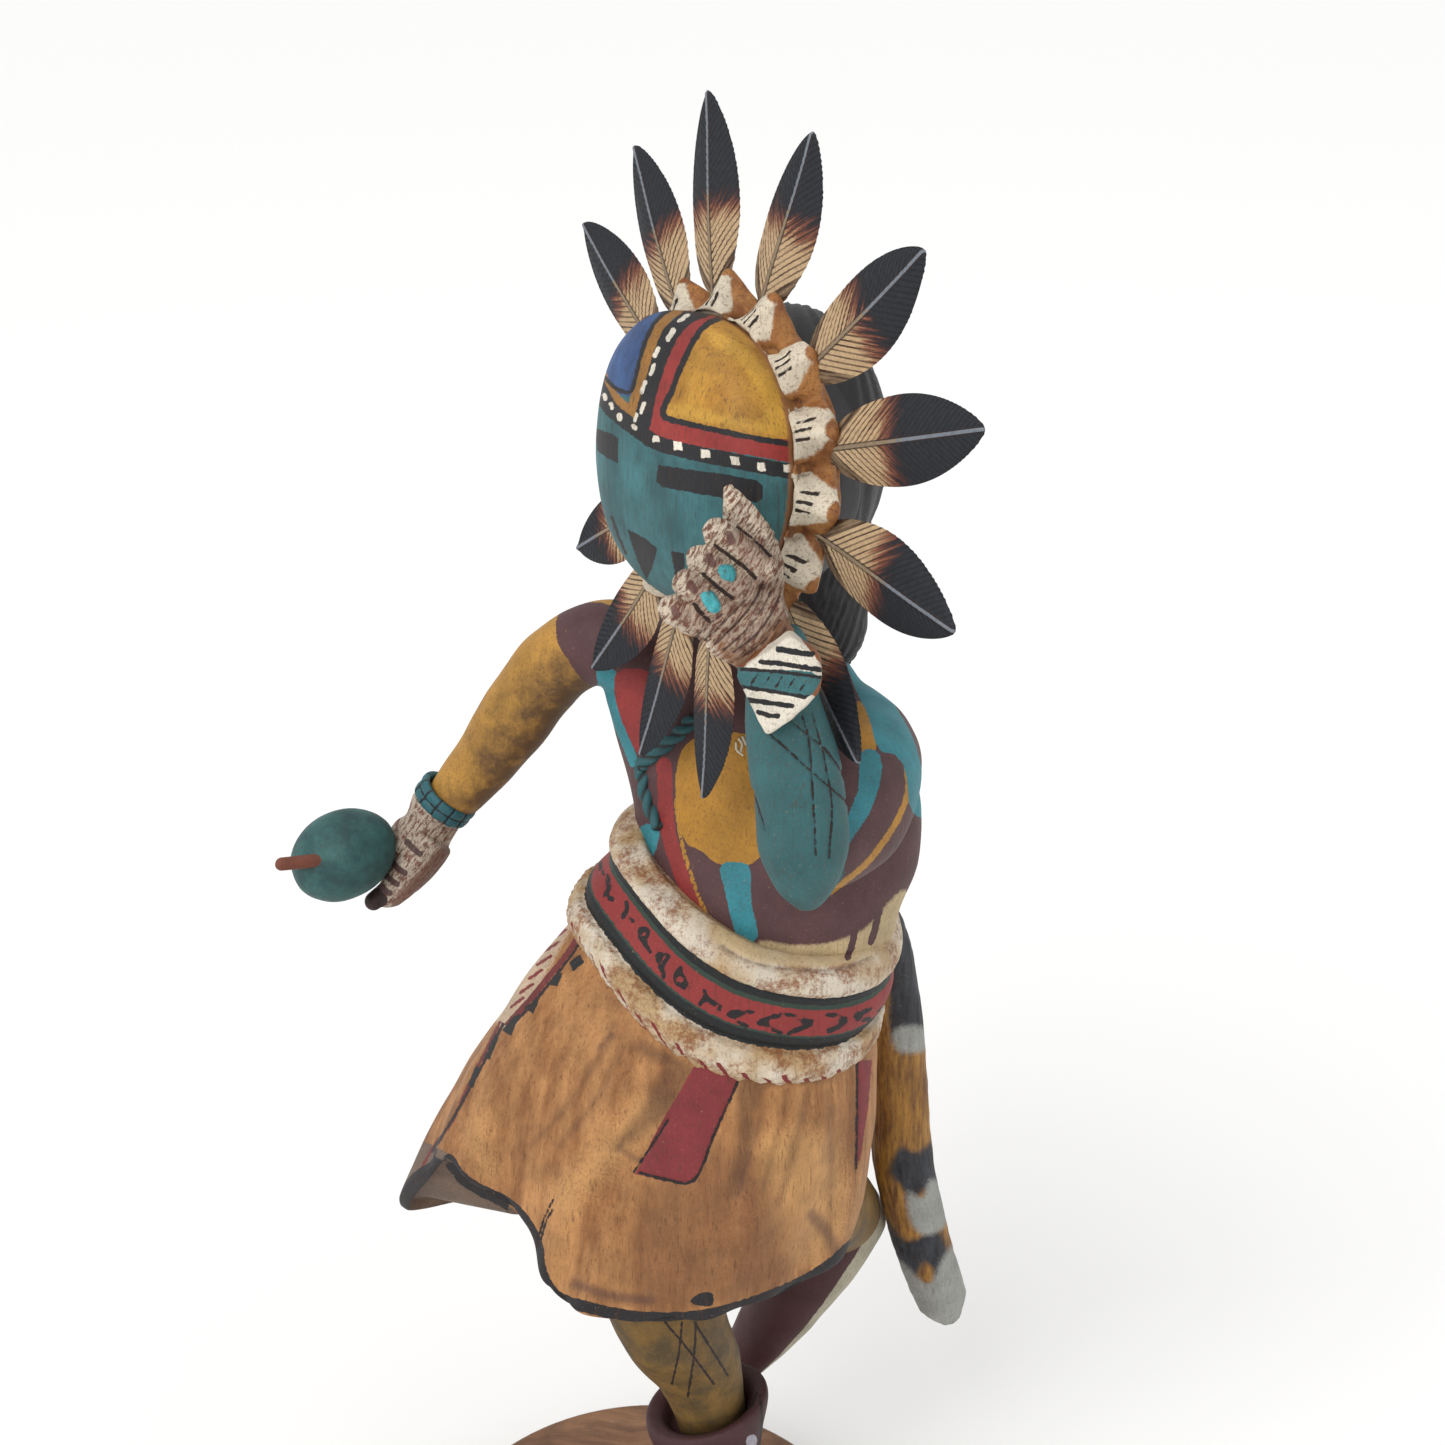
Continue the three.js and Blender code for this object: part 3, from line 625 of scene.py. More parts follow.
BODY_LAYERS = [
    ("rattle_arm", [], rattle_arm_zone),
    ("shoulder_patch", [area((560, 612), (612, 606), (614, 690), (585, 682), (568, 660), (557, 640))],
        rattle_arm_zone),
    (
        "chest_edge",
        [
            area((598, 668), (616, 671), (614, 690), (617, 705), (628, 735), (637, 760), (632, 768),
                (622, 745),
                 (608, 712), (599, 690)),
            area((641, 826), (658, 826), (656, 850), (650, 860), (644, 850)),
        ],
        off_forearm,
    ),
    (
        "red_straps",
        [
            area((617, 672), (650, 672), (650, 690), (640, 755), (628, 735), (617, 705)),
            line(15, (664, 765), (668, 830), (680, 870), (694, 905), (712, 945), (720, 960)),
        ],
        off_forearm,
    ),
    ("yellow_lines", [
        line(4, (676, 800), (680, 835), (690, 872), (702, 905), (716, 935)),
        line(6, (907, 768), (908, 790), (900, 815), (885, 840), (865, 865), (840, 885), (813, 904)),
        area((858, 700), (868, 712), (874, 735), (876, 750), (860, 750)),
    ], off_forearm),
    ("yellow_patch", [
        area((691, 740), (680, 755), (676, 775), (676, 800), (680, 825), (688, 845), (700, 850), (712, 860),
             (722, 865), (748, 865), (759, 858), (765, 845), (765, 800), (760, 760), (748, 735)),
    ], off_forearm),
    ("turquoise_stripes", [
        area((721, 865), (748, 865), (751, 900), (757, 940), (742, 942), (733, 925), (726, 895)),
        area((846, 652), (866, 650), (870, 665), (882, 685), (899, 712), (914, 740), (922, 770), (929, 800),
             (928, 817), (915, 815), (909, 800), (905, 770), (895, 755), (880, 750), (868, 715), (856, 690)),
        area((862, 752), (875, 750), (882, 765), (878, 790), (868, 815), (855, 835), (842, 852), (843, 835),
             (850, 810), (858, 790)),
    ], off_forearm),
    ("waist_cream", [
        area((716, 925), (728, 943), (735, 936), (748, 947), (762, 941), (790, 945), (815, 945), (842, 939),
             (868, 926), (884, 908), (905, 890), (915, 960), (880, 1000), (780, 1010), (700, 985)),
    ], off_forearm),
    ("drips", [line(7, (856, 925), (852, 945), (848, 957)), line(7, (880, 905), (876, 925), (871, 942))],
        off_forearm),
    ("forearm", [], forearm_zone),
    ("forearm_lines", [
        line(2.2, (765, 730), (790, 752), (812, 772), (848, 803)),
        line(2.0, (790, 720), (808, 735), (826, 750), (848, 782)),
        line(2.0, (802, 716), (808, 735), (811, 762), (816, 855)),
        line(2.0, (812, 713), (821, 745), (827, 772), (832, 805), (829, 858)),
        line(1.6, (752, 790), (760, 812), (765, 830)),
    ], forearm_zone),
]


def make_body():
    form = fuse(
        [
            hoops(CHEST, turn=CHEST_TURN),
            limb(RATTLE_ARM, side=(0, 1, 0)),
            limb(UPPER_ARM, side=(0, 0, 1)),
            limb(FOREARM),
        ],
        voxel=0.95,
    )
    whittle(form, 9, 0.35)
    # The forearm's crossing lines are cut with a knife before they are painted.
    crossings = drawn(BODY_LAYERS[-1][1], lambda spots: np.maximum(forearm_zone(spots), spots[:, 1] + 55))
    refine(form, crossings)
    sink(form, 0.45 * np.clip(0.35 - crossings(spots_of(form)), 0, 0.6) / 0.6)

    def arm_painted_shade(add, spot):
        """Ochre that turns to brown along the arm's lower side, where the skin faces down: painted shade."""
        low = add("SeparateXYZ", {0: add("NewGeometry").outputs["Normal"]}).outputs["Z"]
        patch = add("TexNoise", {"Vector": spot, "Scale": 0.16, "Detail": 5.0,
            "Roughness": 0.7}).outputs["Fac"]
        both = add("Math", {0: patch, 1: 3.0, 2: low}, operation="MULTIPLY_ADD").outputs[0]
        turn = add("MapRange", {"Value": both, 1: 0.9, 2: 1.9, 3: 0.0, 4: 1.0}).outputs[0]
        return add(
            "Mix", {FACTOR: turn, FIRST: linear("#604527"), SECOND: linear("#ac7f38")}, data_type="RGBA"
        ).outputs[MIXED]

    # Matt casein paint brushed thin over cottonwood: chalky, with streaks and rubbed spots.
    material = painted_wood(
        "casein_paint_body", MAROON,
        [
            ("rattle_arm", arm_painted_shade), ("shoulder_patch", MAROON), ("chest_edge", TURQUOISE),
            ("red_straps", RED),
            ("yellow_patch", YELLOW), ("yellow_lines", YELLOW), ("turquoise_stripes", TURQUOISE),
            ("waist_cream", "#b9a37c", 0.5, 1.0), ("drips", MAROON), ("forearm", "#2f5c5f"),
            ("forearm_lines", "#21181a"),
        ],
        grime="#4a3022", grimy=0.5,
    )
    tree = BVHTree.FromBMesh(form)
    finish_piece("torso_and_arms", form, material, ["figure"], BODY_LAYERS)
    make_cord(tree)


def seen_on(tree, pixels, lift, one_depth=False):
    """Where photograph pixels fall on a skin, lifted towards the camera, or all as far off as the first."""
    spots = []
    reach = None
    for x, y in pixels:
        right = (x - PHOTO_SIDE / 2) / FOCAL_PIXELS
        up = (PHOTO_SIDE / 2 - y) / FOCAL_PIXELS
        way = unit([
            right, math.cos(CAMERA_DROP) + up * math.sin(CAMERA_DROP),
            up * math.cos(CAMERA_DROP) - math.sin(CAMERA_DROP)
        ])
        if reach is None or not one_depth:
            reach = tree.ray_cast(Vector(CAMERA_PLACE), Vector(way))[3]
        spots.append(CAMERA_PLACE + way * (reach - lift))
    return spots


CORD = [(694, 716), (686, 727), (676, 736), (663, 747), (650, 757), (642, 766), (643, 780), (646, 796),
    (652, 812), (660, 830)]
THREADS = [[(738, 738), (742, 744), (741, 752)], [(742, 736), (746, 744), (750, 748)],
    [(736, 742), (737, 750), (744, 756)]]


def make_cord(tree):
    """A two-strand cord that hangs from the neck over the chest, and a frayed white thread."""
    path = curve(seen_on(tree, CORD, 0.4))
    strand_pitch = 4.2
    length = np.linalg.norm(np.diff(path(np.linspace(0, 1, 60)), axis=0), axis=1).sum()

    def twist(u, v):
        return 2 * np.pi * (u - v * length / strand_pitch / 2)

    def place(u, v):
        step = 1e-3
        along = path(np.minimum(v + step, 1)) - path(np.maximum(v - step, 0))
        along /= np.linalg.norm(along, axis=1, keepdims=True)
        wide = np.cross(along, [0, 0, 1.0])
        wide /= np.linalg.norm(wide, axis=1, keepdims=True)
        deep = np.cross(along, wide)
        ends = np.sqrt(np.clip(np.minimum(v, 1 - v) / 0.02, 0, 1))
        radius = (1.0 + 0.75 * np.abs(np.cos(twist(u, v)))) * ends
        turn = 2 * np.pi * u
        return path(v) + wide * (radius * np.cos(turn))[:, None] + deep * (radius * np.sin(turn))[:, None]

    form = skin(30, 220, place)
    middle = path(np.linspace(0, 1, 400))
    spots = spots_of(form)
    reach = np.array([np.min(np.linalg.norm(middle - spot, axis=1)) for spot in spots])
    # Painted wood carved as cord: teal strands with dark grooves between them, deepened as painted shade.
    material = painted_wood("carved_cord", "#28575c", (), grimy=0.3)
    finish_piece("neck_cord", form, material, ["figure"],
        cuts=np.clip(2.3 - 1.4 * reach, 0, 1))
    # Frayed white cotton.
    material = painted_wood("frayed_cotton", "#c9bfa8", (), grimy=0.2, roughness=0.8)
    for index, thread in enumerate(THREADS):
        knots = seen_on(tree, thread, 0.3, one_depth=True)
        form = limb([[*(knot - above([0, 0, 0])), 0.28] for knot in knots], sides=12, rows=24)
        finish_piece(f"thread_{index + 1}", form, material, ["figure"])


# Kilt and belt


HEM = above([
    [52.3, -5, 106], [42.5, -22, 106], [28.3, -34, 107], [14.4, -40, 107], [0.6, -40, 106],
    [-13.2, -38, 108], [-21.7, -32, 110], [-26, -23, 121], [-38, -14, 124.5], [-47, -5, 127],
    [-56, 8, 112], [-63, 24, 91], [-50, 33, 88], [-28, 40, 86], [0, 44, 88],
    [23, 40, 92], [40.5, 28, 97], [48.5, 10, 102],
])
WAIST_CENTRE = above([24, 2, 188])
WAIST_SLOPE = (-0.34, 0.11)


def waist_ring(angle, half_width, half_depth, centre):
    dx = half_width * np.cos(angle)
    dy = half_depth * np.sin(angle)
    return np.stack(
        [centre[0] + dx, centre[1] + dy, centre[2] + dx * WAIST_SLOPE[0] + dy * WAIST_SLOPE[1]], 1
    )


FINE_KILT_LAYERS = ("strap_edges", "hem", "opening", "opening_dark", "hip_stitches", "steps")
# Down the kilt's wall: share of the way, drop from waist to hem, inset and lift in millimetres.
KILT_STATIONS = np.array([
    [0.00, 1.00, 30, 7], [0.04, 1.00, 6.5, 6], [0.07, 1.00, 3.6, 4.5], [0.10, 1.00, 3.0, 0.6],
    [0.115, 1.00, 1.6, -0.1], [0.13, 0.995, 0.2, 0.3], [0.15, 0.97, 0, 0], [0.98, 0.0, 0, 0],
    [1.0, 0.0, 28, 0],
])


def kilt_wall(u, v):
    hem_line = curve(HEM, True)
    angle = 2 * np.pi * u
    low = hem_line((1 - u) % 1)
    high = waist_ring(angle, 29.2, 28.8, WAIST_CENTRE)
    drop, inset, lift = (np.interp(v, KILT_STATIONS[:, 0], KILT_STATIONS[:, k]) for k in (1, 2, 3))
    spot = high + (low - high) * drop[:, None]
    inward = above([2, 0, 106]) - spot
    inward[:, 2] = 0
    reach = np.linalg.norm(inward, axis=1, keepdims=True)
    inward /= reach
    hip = np.clip(-np.cos(angle), 0, 1) ** 2
    swell = 3.5 * np.sin(np.pi * drop) + 2.8 * hip * np.clip(np.sin(np.pi * drop), 0, 1) ** 0.6
    # Soft carved folds that open towards the hem.
    folds = drop**1.5 * (0.9 * np.cos(9 * angle + 2.2 * drop) + 0.6 * np.cos(17 * angle - 1.5))
    push = np.minimum(inset, reach[:, 0]) - swell - folds * (inset < 1)
    spot += inward * push[:, None]
    spot[:, 2] += lift
    return spot


FRONT_HEM = line(
    12, (449, 1160), (462, 1178), (480, 1190), (505, 1202), (524, 1220), (536, 1242), (541, 1272),
    (556, 1296),
    (590, 1308), (640, 1317), (700, 1316), (760, 1300), (820, 1272), (862, 1236), (885, 1215),
)
STRAP_EDGES = [
    line(3, (738, 1082), (715, 1132), (692, 1182), (664, 1179), (640, 1173)),
    line(2.4, (668, 1120), (650, 1148), (634, 1172)),
    line(2.6, (857, 1060), (857, 1110), (856, 1168)),
    line(2.2, (553, 1200), (547, 1212), (541, 1228), (538, 1245)),
    line(2.2, (552, 1210), (546, 1222), (541, 1240)),
]
KILT_LAYERS = [
    # Painted light: paler bands along the lit fold ridges.
    ("light_wash", [
        line(24, (652, 1112), (610, 1150), (566, 1196)),
        area((765, 1140), (820, 1130), (850, 1180), (845, 1236), (790, 1262), (764, 1210)),
        line(10, (480, 1120), (476, 1150), (490, 1170)),
    ], None),
    ("middle_wash", [area((650, 1190), (720, 1150), (775, 1190), (790, 1260), (720, 1300), (640, 1300))],
        None),
    # Brown wash with painted shade: dark streaks down the folds, beside the straps and under the belt.
    ("brown_wash", [
        area((738, 1078), (768, 1080), (757, 1110), (750, 1150), (736, 1190), (728, 1196), (734, 1160),
            (738, 1120)),
        line(4, (806, 1092), (797, 1140), (778, 1205)), line(3, (788, 1090), (776, 1140), (762, 1190)),
        area((668, 1066), (700, 1072), (690, 1096), (664, 1116), (640, 1136), (612, 1150), (640, 1112)),
        line(7, (612, 1026), (604, 1050), (588, 1072)), line(3, (827, 1092), (831, 1160), (828, 1235)),
        line(12, (640, 1046), (690, 1070), (740, 1080), (830, 1076)),
        line(3, (590, 1070), (566, 1108), (530, 1146)), line(4, (620, 1052), (596, 1100), (560, 1146)),
    ], None),
    # Darker blotches near the hem and beside the straps.
    ("stains", [
        line(10, (575, 1284), (610, 1296), (650, 1300)), line(12, (812, 1215), (826, 1232), (836, 1250)),
        line(5, (620, 1148), (640, 1160), (655, 1150)), line(3, (760, 1120), (748, 1160), (738, 1196)),
        line(4, (600, 1048), (606, 1040), (612, 1036)),
    ], None),
    ("straps", [
        area((694, 1066), (741, 1076), (718, 1130), (694, 1183), (664, 1181), (635, 1174), (656, 1132),
            (676, 1098),
             rounded=False),
        area((857, 1060), (872, 1060), (868, 1110), (860, 1160), (856, 1165), rounded=False),
    ], None),
    ("strap_edges", STRAP_EDGES, None),
    ("flap_inside", [area((396, 1140), (449, 1154), (462, 1178), (480, 1190), (505, 1202), (524, 1226),
        (396, 1226))], None),
    ("hem", [FRONT_HEM, area((690, 1302), (698, 1294), (712, 1293), (712, 1306))], None),
    ("hip_fleece", [line(20, (568, 912), (550, 945), (530, 982), (506, 1018))], None),
    ("opening", [
        line(6, (579, 936), (564, 958), (546, 980), (528, 1002), (508, 1024)),
        line(3, (500, 1022), (480, 1062), (466, 1090), (452, 1122), (430, 1152), (408, 1200)),
    ], None),
    ("opening_dark", [
        line(3, (583, 938), (568, 960), (550, 983), (532, 1004), (512, 1026)),
        line(3, (503, 1024), (486, 1058), (470, 1088), (452, 1120), (432, 1152)),
    ], None),
    ("hip_stitches", [
        line(3, (574, 917), (562, 926)), line(3, (566, 930), (553, 938)), line(3, (559, 942), (545, 951)),
        line(3, (551, 956), (537, 965)), line(3, (542, 970), (529, 979)), line(3, (533, 984), (520, 993)),
        line(3, (523, 998), (511, 1007)),
    ], None),
    ("steps", [
        area((569, 962), (580, 954), (584, 962), (573, 972), rounded=False),
        area((547, 985), (556, 974), (563, 972), (558, 986), rounded=False),
        area((524, 1008), (534, 1000), (540, 998), (533, 1014), rounded=False),
        area((502, 1030), (514, 1016), (520, 1014), (511, 1036), rounded=False),
        area((484, 1058), (496, 1032), (499, 1036), (490, 1060), rounded=False),
        area((468, 1084), (476, 1066), (480, 1068), (473, 1088), rounded=False),
    ], None),
]


def make_kilt():
    form = skin(290, 150, kilt_wall)
    whittle(form, 14, 0.45)

    def in_front(spots):
        return spots[:, 1] - 0.2 * spots[:, 0] - 6

    thin = [shape for name, shapes, _ in KILT_LAYERS if name in FINE_KILT_LAYERS for shape in shapes]
    refine(form, drawn(thin, in_front), 0.7, 1)
    grooves = drawn(STRAP_EDGES, in_front)(spots_of(form))
    sink(form, 0.45 * np.clip(0.35 - grooves, 0, 0.6) / 0.6)
    hem_knots = curve(HEM, True)(np.arange(240) / 240)

    def back_hem(spots):
        """The black border goes on round the back of the hem."""
        gap = np.full(len(spots), 1e3)
        for start, end in zip(hem_knots, np.roll(hem_knots, -1, 0)):
            gap = np.minimum(gap, segment_gap(spots, start, end)[0])
        behind = spots[:, 1] - 0.2 * spots[:, 0] + 22 * np.clip((spots[:, 0] - 20) / 10, 0, 1)
        return np.maximum(gap - 2.6, 8 - behind)

    layers = KILT_LAYERS + [("back_hem", [], back_hem)]

    # Stained bare cottonwood rubbed with brown wash, with painted shade and light so folds read as leather.
    material = painted_wood(
        "stained_cottonwood_kilt", mottled("#875830", "#b17f4e", 0.17, (1, 1, 0.1)),
        [
            ("light_wash", "#c3935c", 4.0, 0.75), ("middle_wash", "#744c30", 5.0, 0.6),
            ("brown_wash", "#553622", 1.4, 0.6), ("stains", "#40282c", 1.0, 0.55),
            ("straps", "#7c2c30"), ("flap_inside", "#6d5a4c"), ("hip_fleece", "#c4ab90", 0.8, 1.0),
            ("opening", "#6d2c2c"), ("opening_dark", "#2c2023"), ("strap_edges", "#1c1719"),
            ("steps", "#1f2426"),
            ("hip_stitches", "#7f2f30"), ("hem", BLACK), ("back_hem", BLACK),
        ],
        grain_way=(1, 1, 0.1), mottle=0.26, grained=0.6, grime="#4a2e1c", bump=0.3,
    )
    finish_piece("kilt", form, material, ["figure"], layers)


# The belt's rise along the body's lean and its radius, from the lower roll to the upper one.
BELT_PROFILE = curve([
    [-27, 30], [-26, 32.5], [-25, 36], [-21, 38.6], [-16.5, 37.6], [-14.3, 35.6], [-12.5, 35.1], [-3, 33.6],
    [-1.6, 34.4], [1.5, 35.4], [5, 33.8], [7, 29.5], [5, 27],
])
BELT_LOW, BELT_HIGH = -14.6, -1.4
BELT_CENTRE = [27, 1, 195]
BELT_BREADTH = 0.945
FRONT_ANGLE = -1.36
# The band's brush marks: a diamond at the front, with hooked chevrons that point away on both sides.
BAND_MARKS = [
    line(5, (781, 1015), (770, 1018), (759, 1023), (770, 1028), (781, 1032)),
    line(5, (786, 1015), (800, 1018), (812, 1022), (802, 1028), (789, 1033)),
    line(5, (827, 1014), (836, 1016), (846, 1020), (838, 1027), (828, 1031)),
    line(5, (871, 1008), (862, 1012), (855, 1017), (862, 1020), (870, 1019)),
    line(5, (880, 1011), (885, 1007), (892, 998)), line(4, (885, 1006), (891, 1009)),
    line(5, (753, 1013), (740, 1012), (729, 1014), (737, 1020), (747, 1027)),
    line(5, (704, 991), (705, 998), (700, 1004)), line(6, (705, 998), (713, 1003), (720, 1008)),
    line(5, (680, 968), (675, 979), (680, 985), (689, 989)), line(5, (680, 973), (687, 983)),
    line(5, (657, 954), (660, 966), (664, 977)), line(5, (657, 954), (668, 956), (664, 963)),
    line(5, (641, 928), (640, 935), (645, 944), (650, 952)), line(4, (641, 928), (649, 931), (646, 938)),
    line(5, (626, 902), (627, 910), (623, 917)), line(5, (624, 914), (632, 921)),
    line(5, (608, 880), (609, 888), (606, 896), (614, 900)), line(4, (600, 862), (602, 872), (608, 876)),
]


def belt_lift(angle, rise):
    """How far the belt rides up at the doll's right, by millimetres: the band more than the upper roll."""
    turned = (angle + 2.57 + np.pi) % (2 * np.pi) - np.pi
    band = np.clip((6.5 - rise) / 8, 0, 1)
    low_roll = np.clip((-16 - rise) / 5, 0, 1)
    return (
        2.8 * np.clip(-np.cos(angle) - 0.1, 0, 1)
        + (4.6 * band + 1.6 * low_roll) * np.exp(-((turned / 0.48) ** 2))
    )


def belt_place(u, v):
    rise, radius = BELT_PROFILE(v).T
    lean = unit([-WAIST_SLOPE[0], -WAIST_SLOPE[1], 1])
    centre = above(BELT_CENTRE)
    angle = 2 * np.pi * u
    # At the doll's right the band slopes outwards down to the lower roll, and at its left it stands full.
    radius = radius + 1.2 * np.clip(-np.cos(angle), 0, 1) * np.exp(-(((rise + 13) / 5) ** 2))
    radius = radius + 3.0 * np.clip(np.cos(angle), 0, 1) ** 2 * np.exp(-(((rise + 8) / 6) ** 2))
    dx = radius * BELT_BREADTH * np.cos(angle)
    dy = radius * 0.95 * np.sin(angle)
    level = centre + rise[:, None] * lean
    return np.stack([
        level[:, 0] + dx, level[:, 1] + dy,
        level[:, 2] + dx * WAIST_SLOPE[0] + dy * WAIST_SLOPE[1] + belt_lift(angle, rise),
    ], 1)


def make_belt():
    form = skin(460, 112, belt_place)
    # Arc from the front in millimetres, and rise along the body's lean.
    around, along = shares_of(form)
    arc = ((2 * np.pi * around - FRONT_ANGLE + np.pi) % (2 * np.pi) - np.pi) * 34
    rise = BELT_PROFILE(along)[:, 0]
    fleece = np.maximum(BELT_LOW - rise, rise - BELT_HIGH)
    lumps = grain(spots_of(form), 3.2, 0.35) + grain(spots_of(form), 0.9, 0.3)
    lumps = np.where(rise > BELT_HIGH, 0.4 * lumps, lumps)
    crease = 0.9 * np.exp(-((np.minimum(np.abs(rise - BELT_LOW), np.abs(rise - BELT_HIGH)) / 0.7) ** 2))
    stitch_pitch = 4.6
    scallop = 0.3 * np.cos(2 * np.pi * (arc + 0.9 * rise) / stitch_pitch) * np.clip((-21 - rise) / 4, 0, 1)
    tuck = drawn([line(3, (722, 946), (745, 960), (780, 968), (838, 969), (872, 957))])(spots_of(form))
    sink(form, np.where(fleece > 0, lumps, 0.1 * lumps) + crease + scallop + 0.6 * np.clip(0.8 - tuck, 0, 1))

    def measured(draw):
        return lambda spots: draw(arc, rise)

    def borders(arc, rise):
        low = np.abs(rise - BELT_LOW - 1.35) - 1.45
        high = np.abs(rise - BELT_HIGH + 0.9) - 1.1
        return np.minimum(low, high)

    def green(arc, rise):
        return np.minimum(np.abs(rise - BELT_LOW - 3.0) - 0.5, np.abs(rise - BELT_HIGH + 2.5) - 0.75)

    def back_marks(arc, rise):
        """Round the back, plain chevrons go on at the same pitch."""
        middle = (BELT_LOW + BELT_HIGH) / 2 + 0.2
        high = np.abs(rise - middle)
        turn = (np.abs(arc) + high) % 8.0
        return np.maximum(np.maximum(np.abs(turn - 4) - 0.9, high - 2.4), 62 - np.abs(arc + 14))

    def stitches(arc, rise):
        slant = arc + (rise + 25) * 0.9
        across = np.abs((slant + stitch_pitch / 2) % stitch_pitch - stitch_pitch / 2)
        # A thin seam runs under the whip stitches, where the roll meets the kilt.
        seam = np.abs(rise + 25.4) - 0.5
        return np.minimum(np.maximum(across - 0.7, rise + 20.6 + 0.8 * np.sin(arc * 0.9)), seam)

    upper_roll = measured(lambda arc, rise: BELT_HIGH + 0.4 - rise)
    layers = [
        ("red_band", [], measured(lambda arc, rise: np.abs(rise - (BELT_LOW + BELT_HIGH) / 2) - 6.6)),
        ("green_border", [], measured(green)),
        ("black_border", [], measured(borders)),
        ("band_marks", BAND_MARKS, measured(lambda arc,
            rise: np.abs(rise - (BELT_LOW + BELT_HIGH) / 2) - 5)),
        ("back_marks", [], measured(back_marks)),
        ("stitches", [], measured(stitches)),
        ("drips", [line(7, (852, 940), (848, 957)), line(7, (876, 922), (871, 943))], None),
        ("bare_roll", [line(18, (722, 936), (745, 948), (780, 956), (835, 957), (866, 946), (880, 936))],
            upper_roll),
        # A grey-brown line in the carved crease under the upper roll: painted shade.
        ("tuck", [line(2.5, (722, 946), (745, 960), (780, 968), (838, 969), (872, 957))], upper_roll),
    ]

    def fleece_colour(add, spot):
        """Rolled fleece: cream with brown mottling between the tufts."""
        tufts = add("TexNoise", {"Vector": spot, "Scale": 1.1, "Detail": 6.0,
            "Roughness": 0.8}).outputs["Fac"]
        patches = add("TexNoise", {"Vector": spot, "Scale": 0.16, "Detail": 4.0,
            "Roughness": 0.65}).outputs["Fac"]
        both = add("Math", {0: tufts, 1: patches}, operation="ADD").outputs[0]
        brown = add("MapRange", {"Value": both, 1: 0.96, 2: 1.16, 3: 0.0, 4: 0.9}).outputs[0]
        pale = add("TexNoise", {"Vector": spot, "Scale": 0.09, "Detail": 2.0}).outputs["Fac"]
        white = add("MapRange", {"Value": pale, 1: 0.4, 2: 0.6, 3: 0.0, 4: 1.0}).outputs[0]
        cream = add(
            "Mix", {FACTOR: white, FIRST: linear("#b4976f"), SECOND: linear("#d2c6b3")}, data_type="RGBA"
        ).outputs[MIXED]
        return add("Mix", {FACTOR: brown, FIRST: cream, SECOND: linear("#85532f")},
            data_type="RGBA").outputs[MIXED]

    # Stippled cream paint for fleece, and a woven band's flat colours between the rolls.
    material = painted_wood(
        "stippled_fleece_and_band", fleece_colour,
        [
            ("bare_roll", "#bda67f", 0.8, 0.85), ("tuck", "#6f6258", 0.3, 0.7), ("drips", MAROON),
            ("red_band", RED),
            ("green_border", BELT_GREEN), ("band_marks", "#1f1a1d"), ("back_marks", "#1f1a1d"),
            ("black_border", "#181d1f"), ("stitches", "#7a2a2b"),
        ],
        mottle=0.12, bump=0.3, grimy=0.2,
    )
    finish_piece("belt", form, material, ["figure"], layers)


# Head: mask, ruff, hair and feathers


HEAD_TURN = math.radians(-54.8)
HEAD_LIFT = math.radians(7.8)
HEAD = (
    Matrix.Translation(Vector(above([20.6, -20, 306.6])))
    @ Matrix.Rotation(HEAD_TURN, 4, "Z")
    @ Matrix.Rotation(math.pi / 2 - HEAD_LIFT, 4, "X")
)
HEAD_ARRAY = np.array(HEAD)


def onto_head(spots):
    return spots @ HEAD_ARRAY[:3, :3].T + HEAD_ARRAY[:3, 3]


def off_head(spots):
    return (spots - HEAD_ARRAY[:3, 3]) @ HEAD_ARRAY[:3, :3]


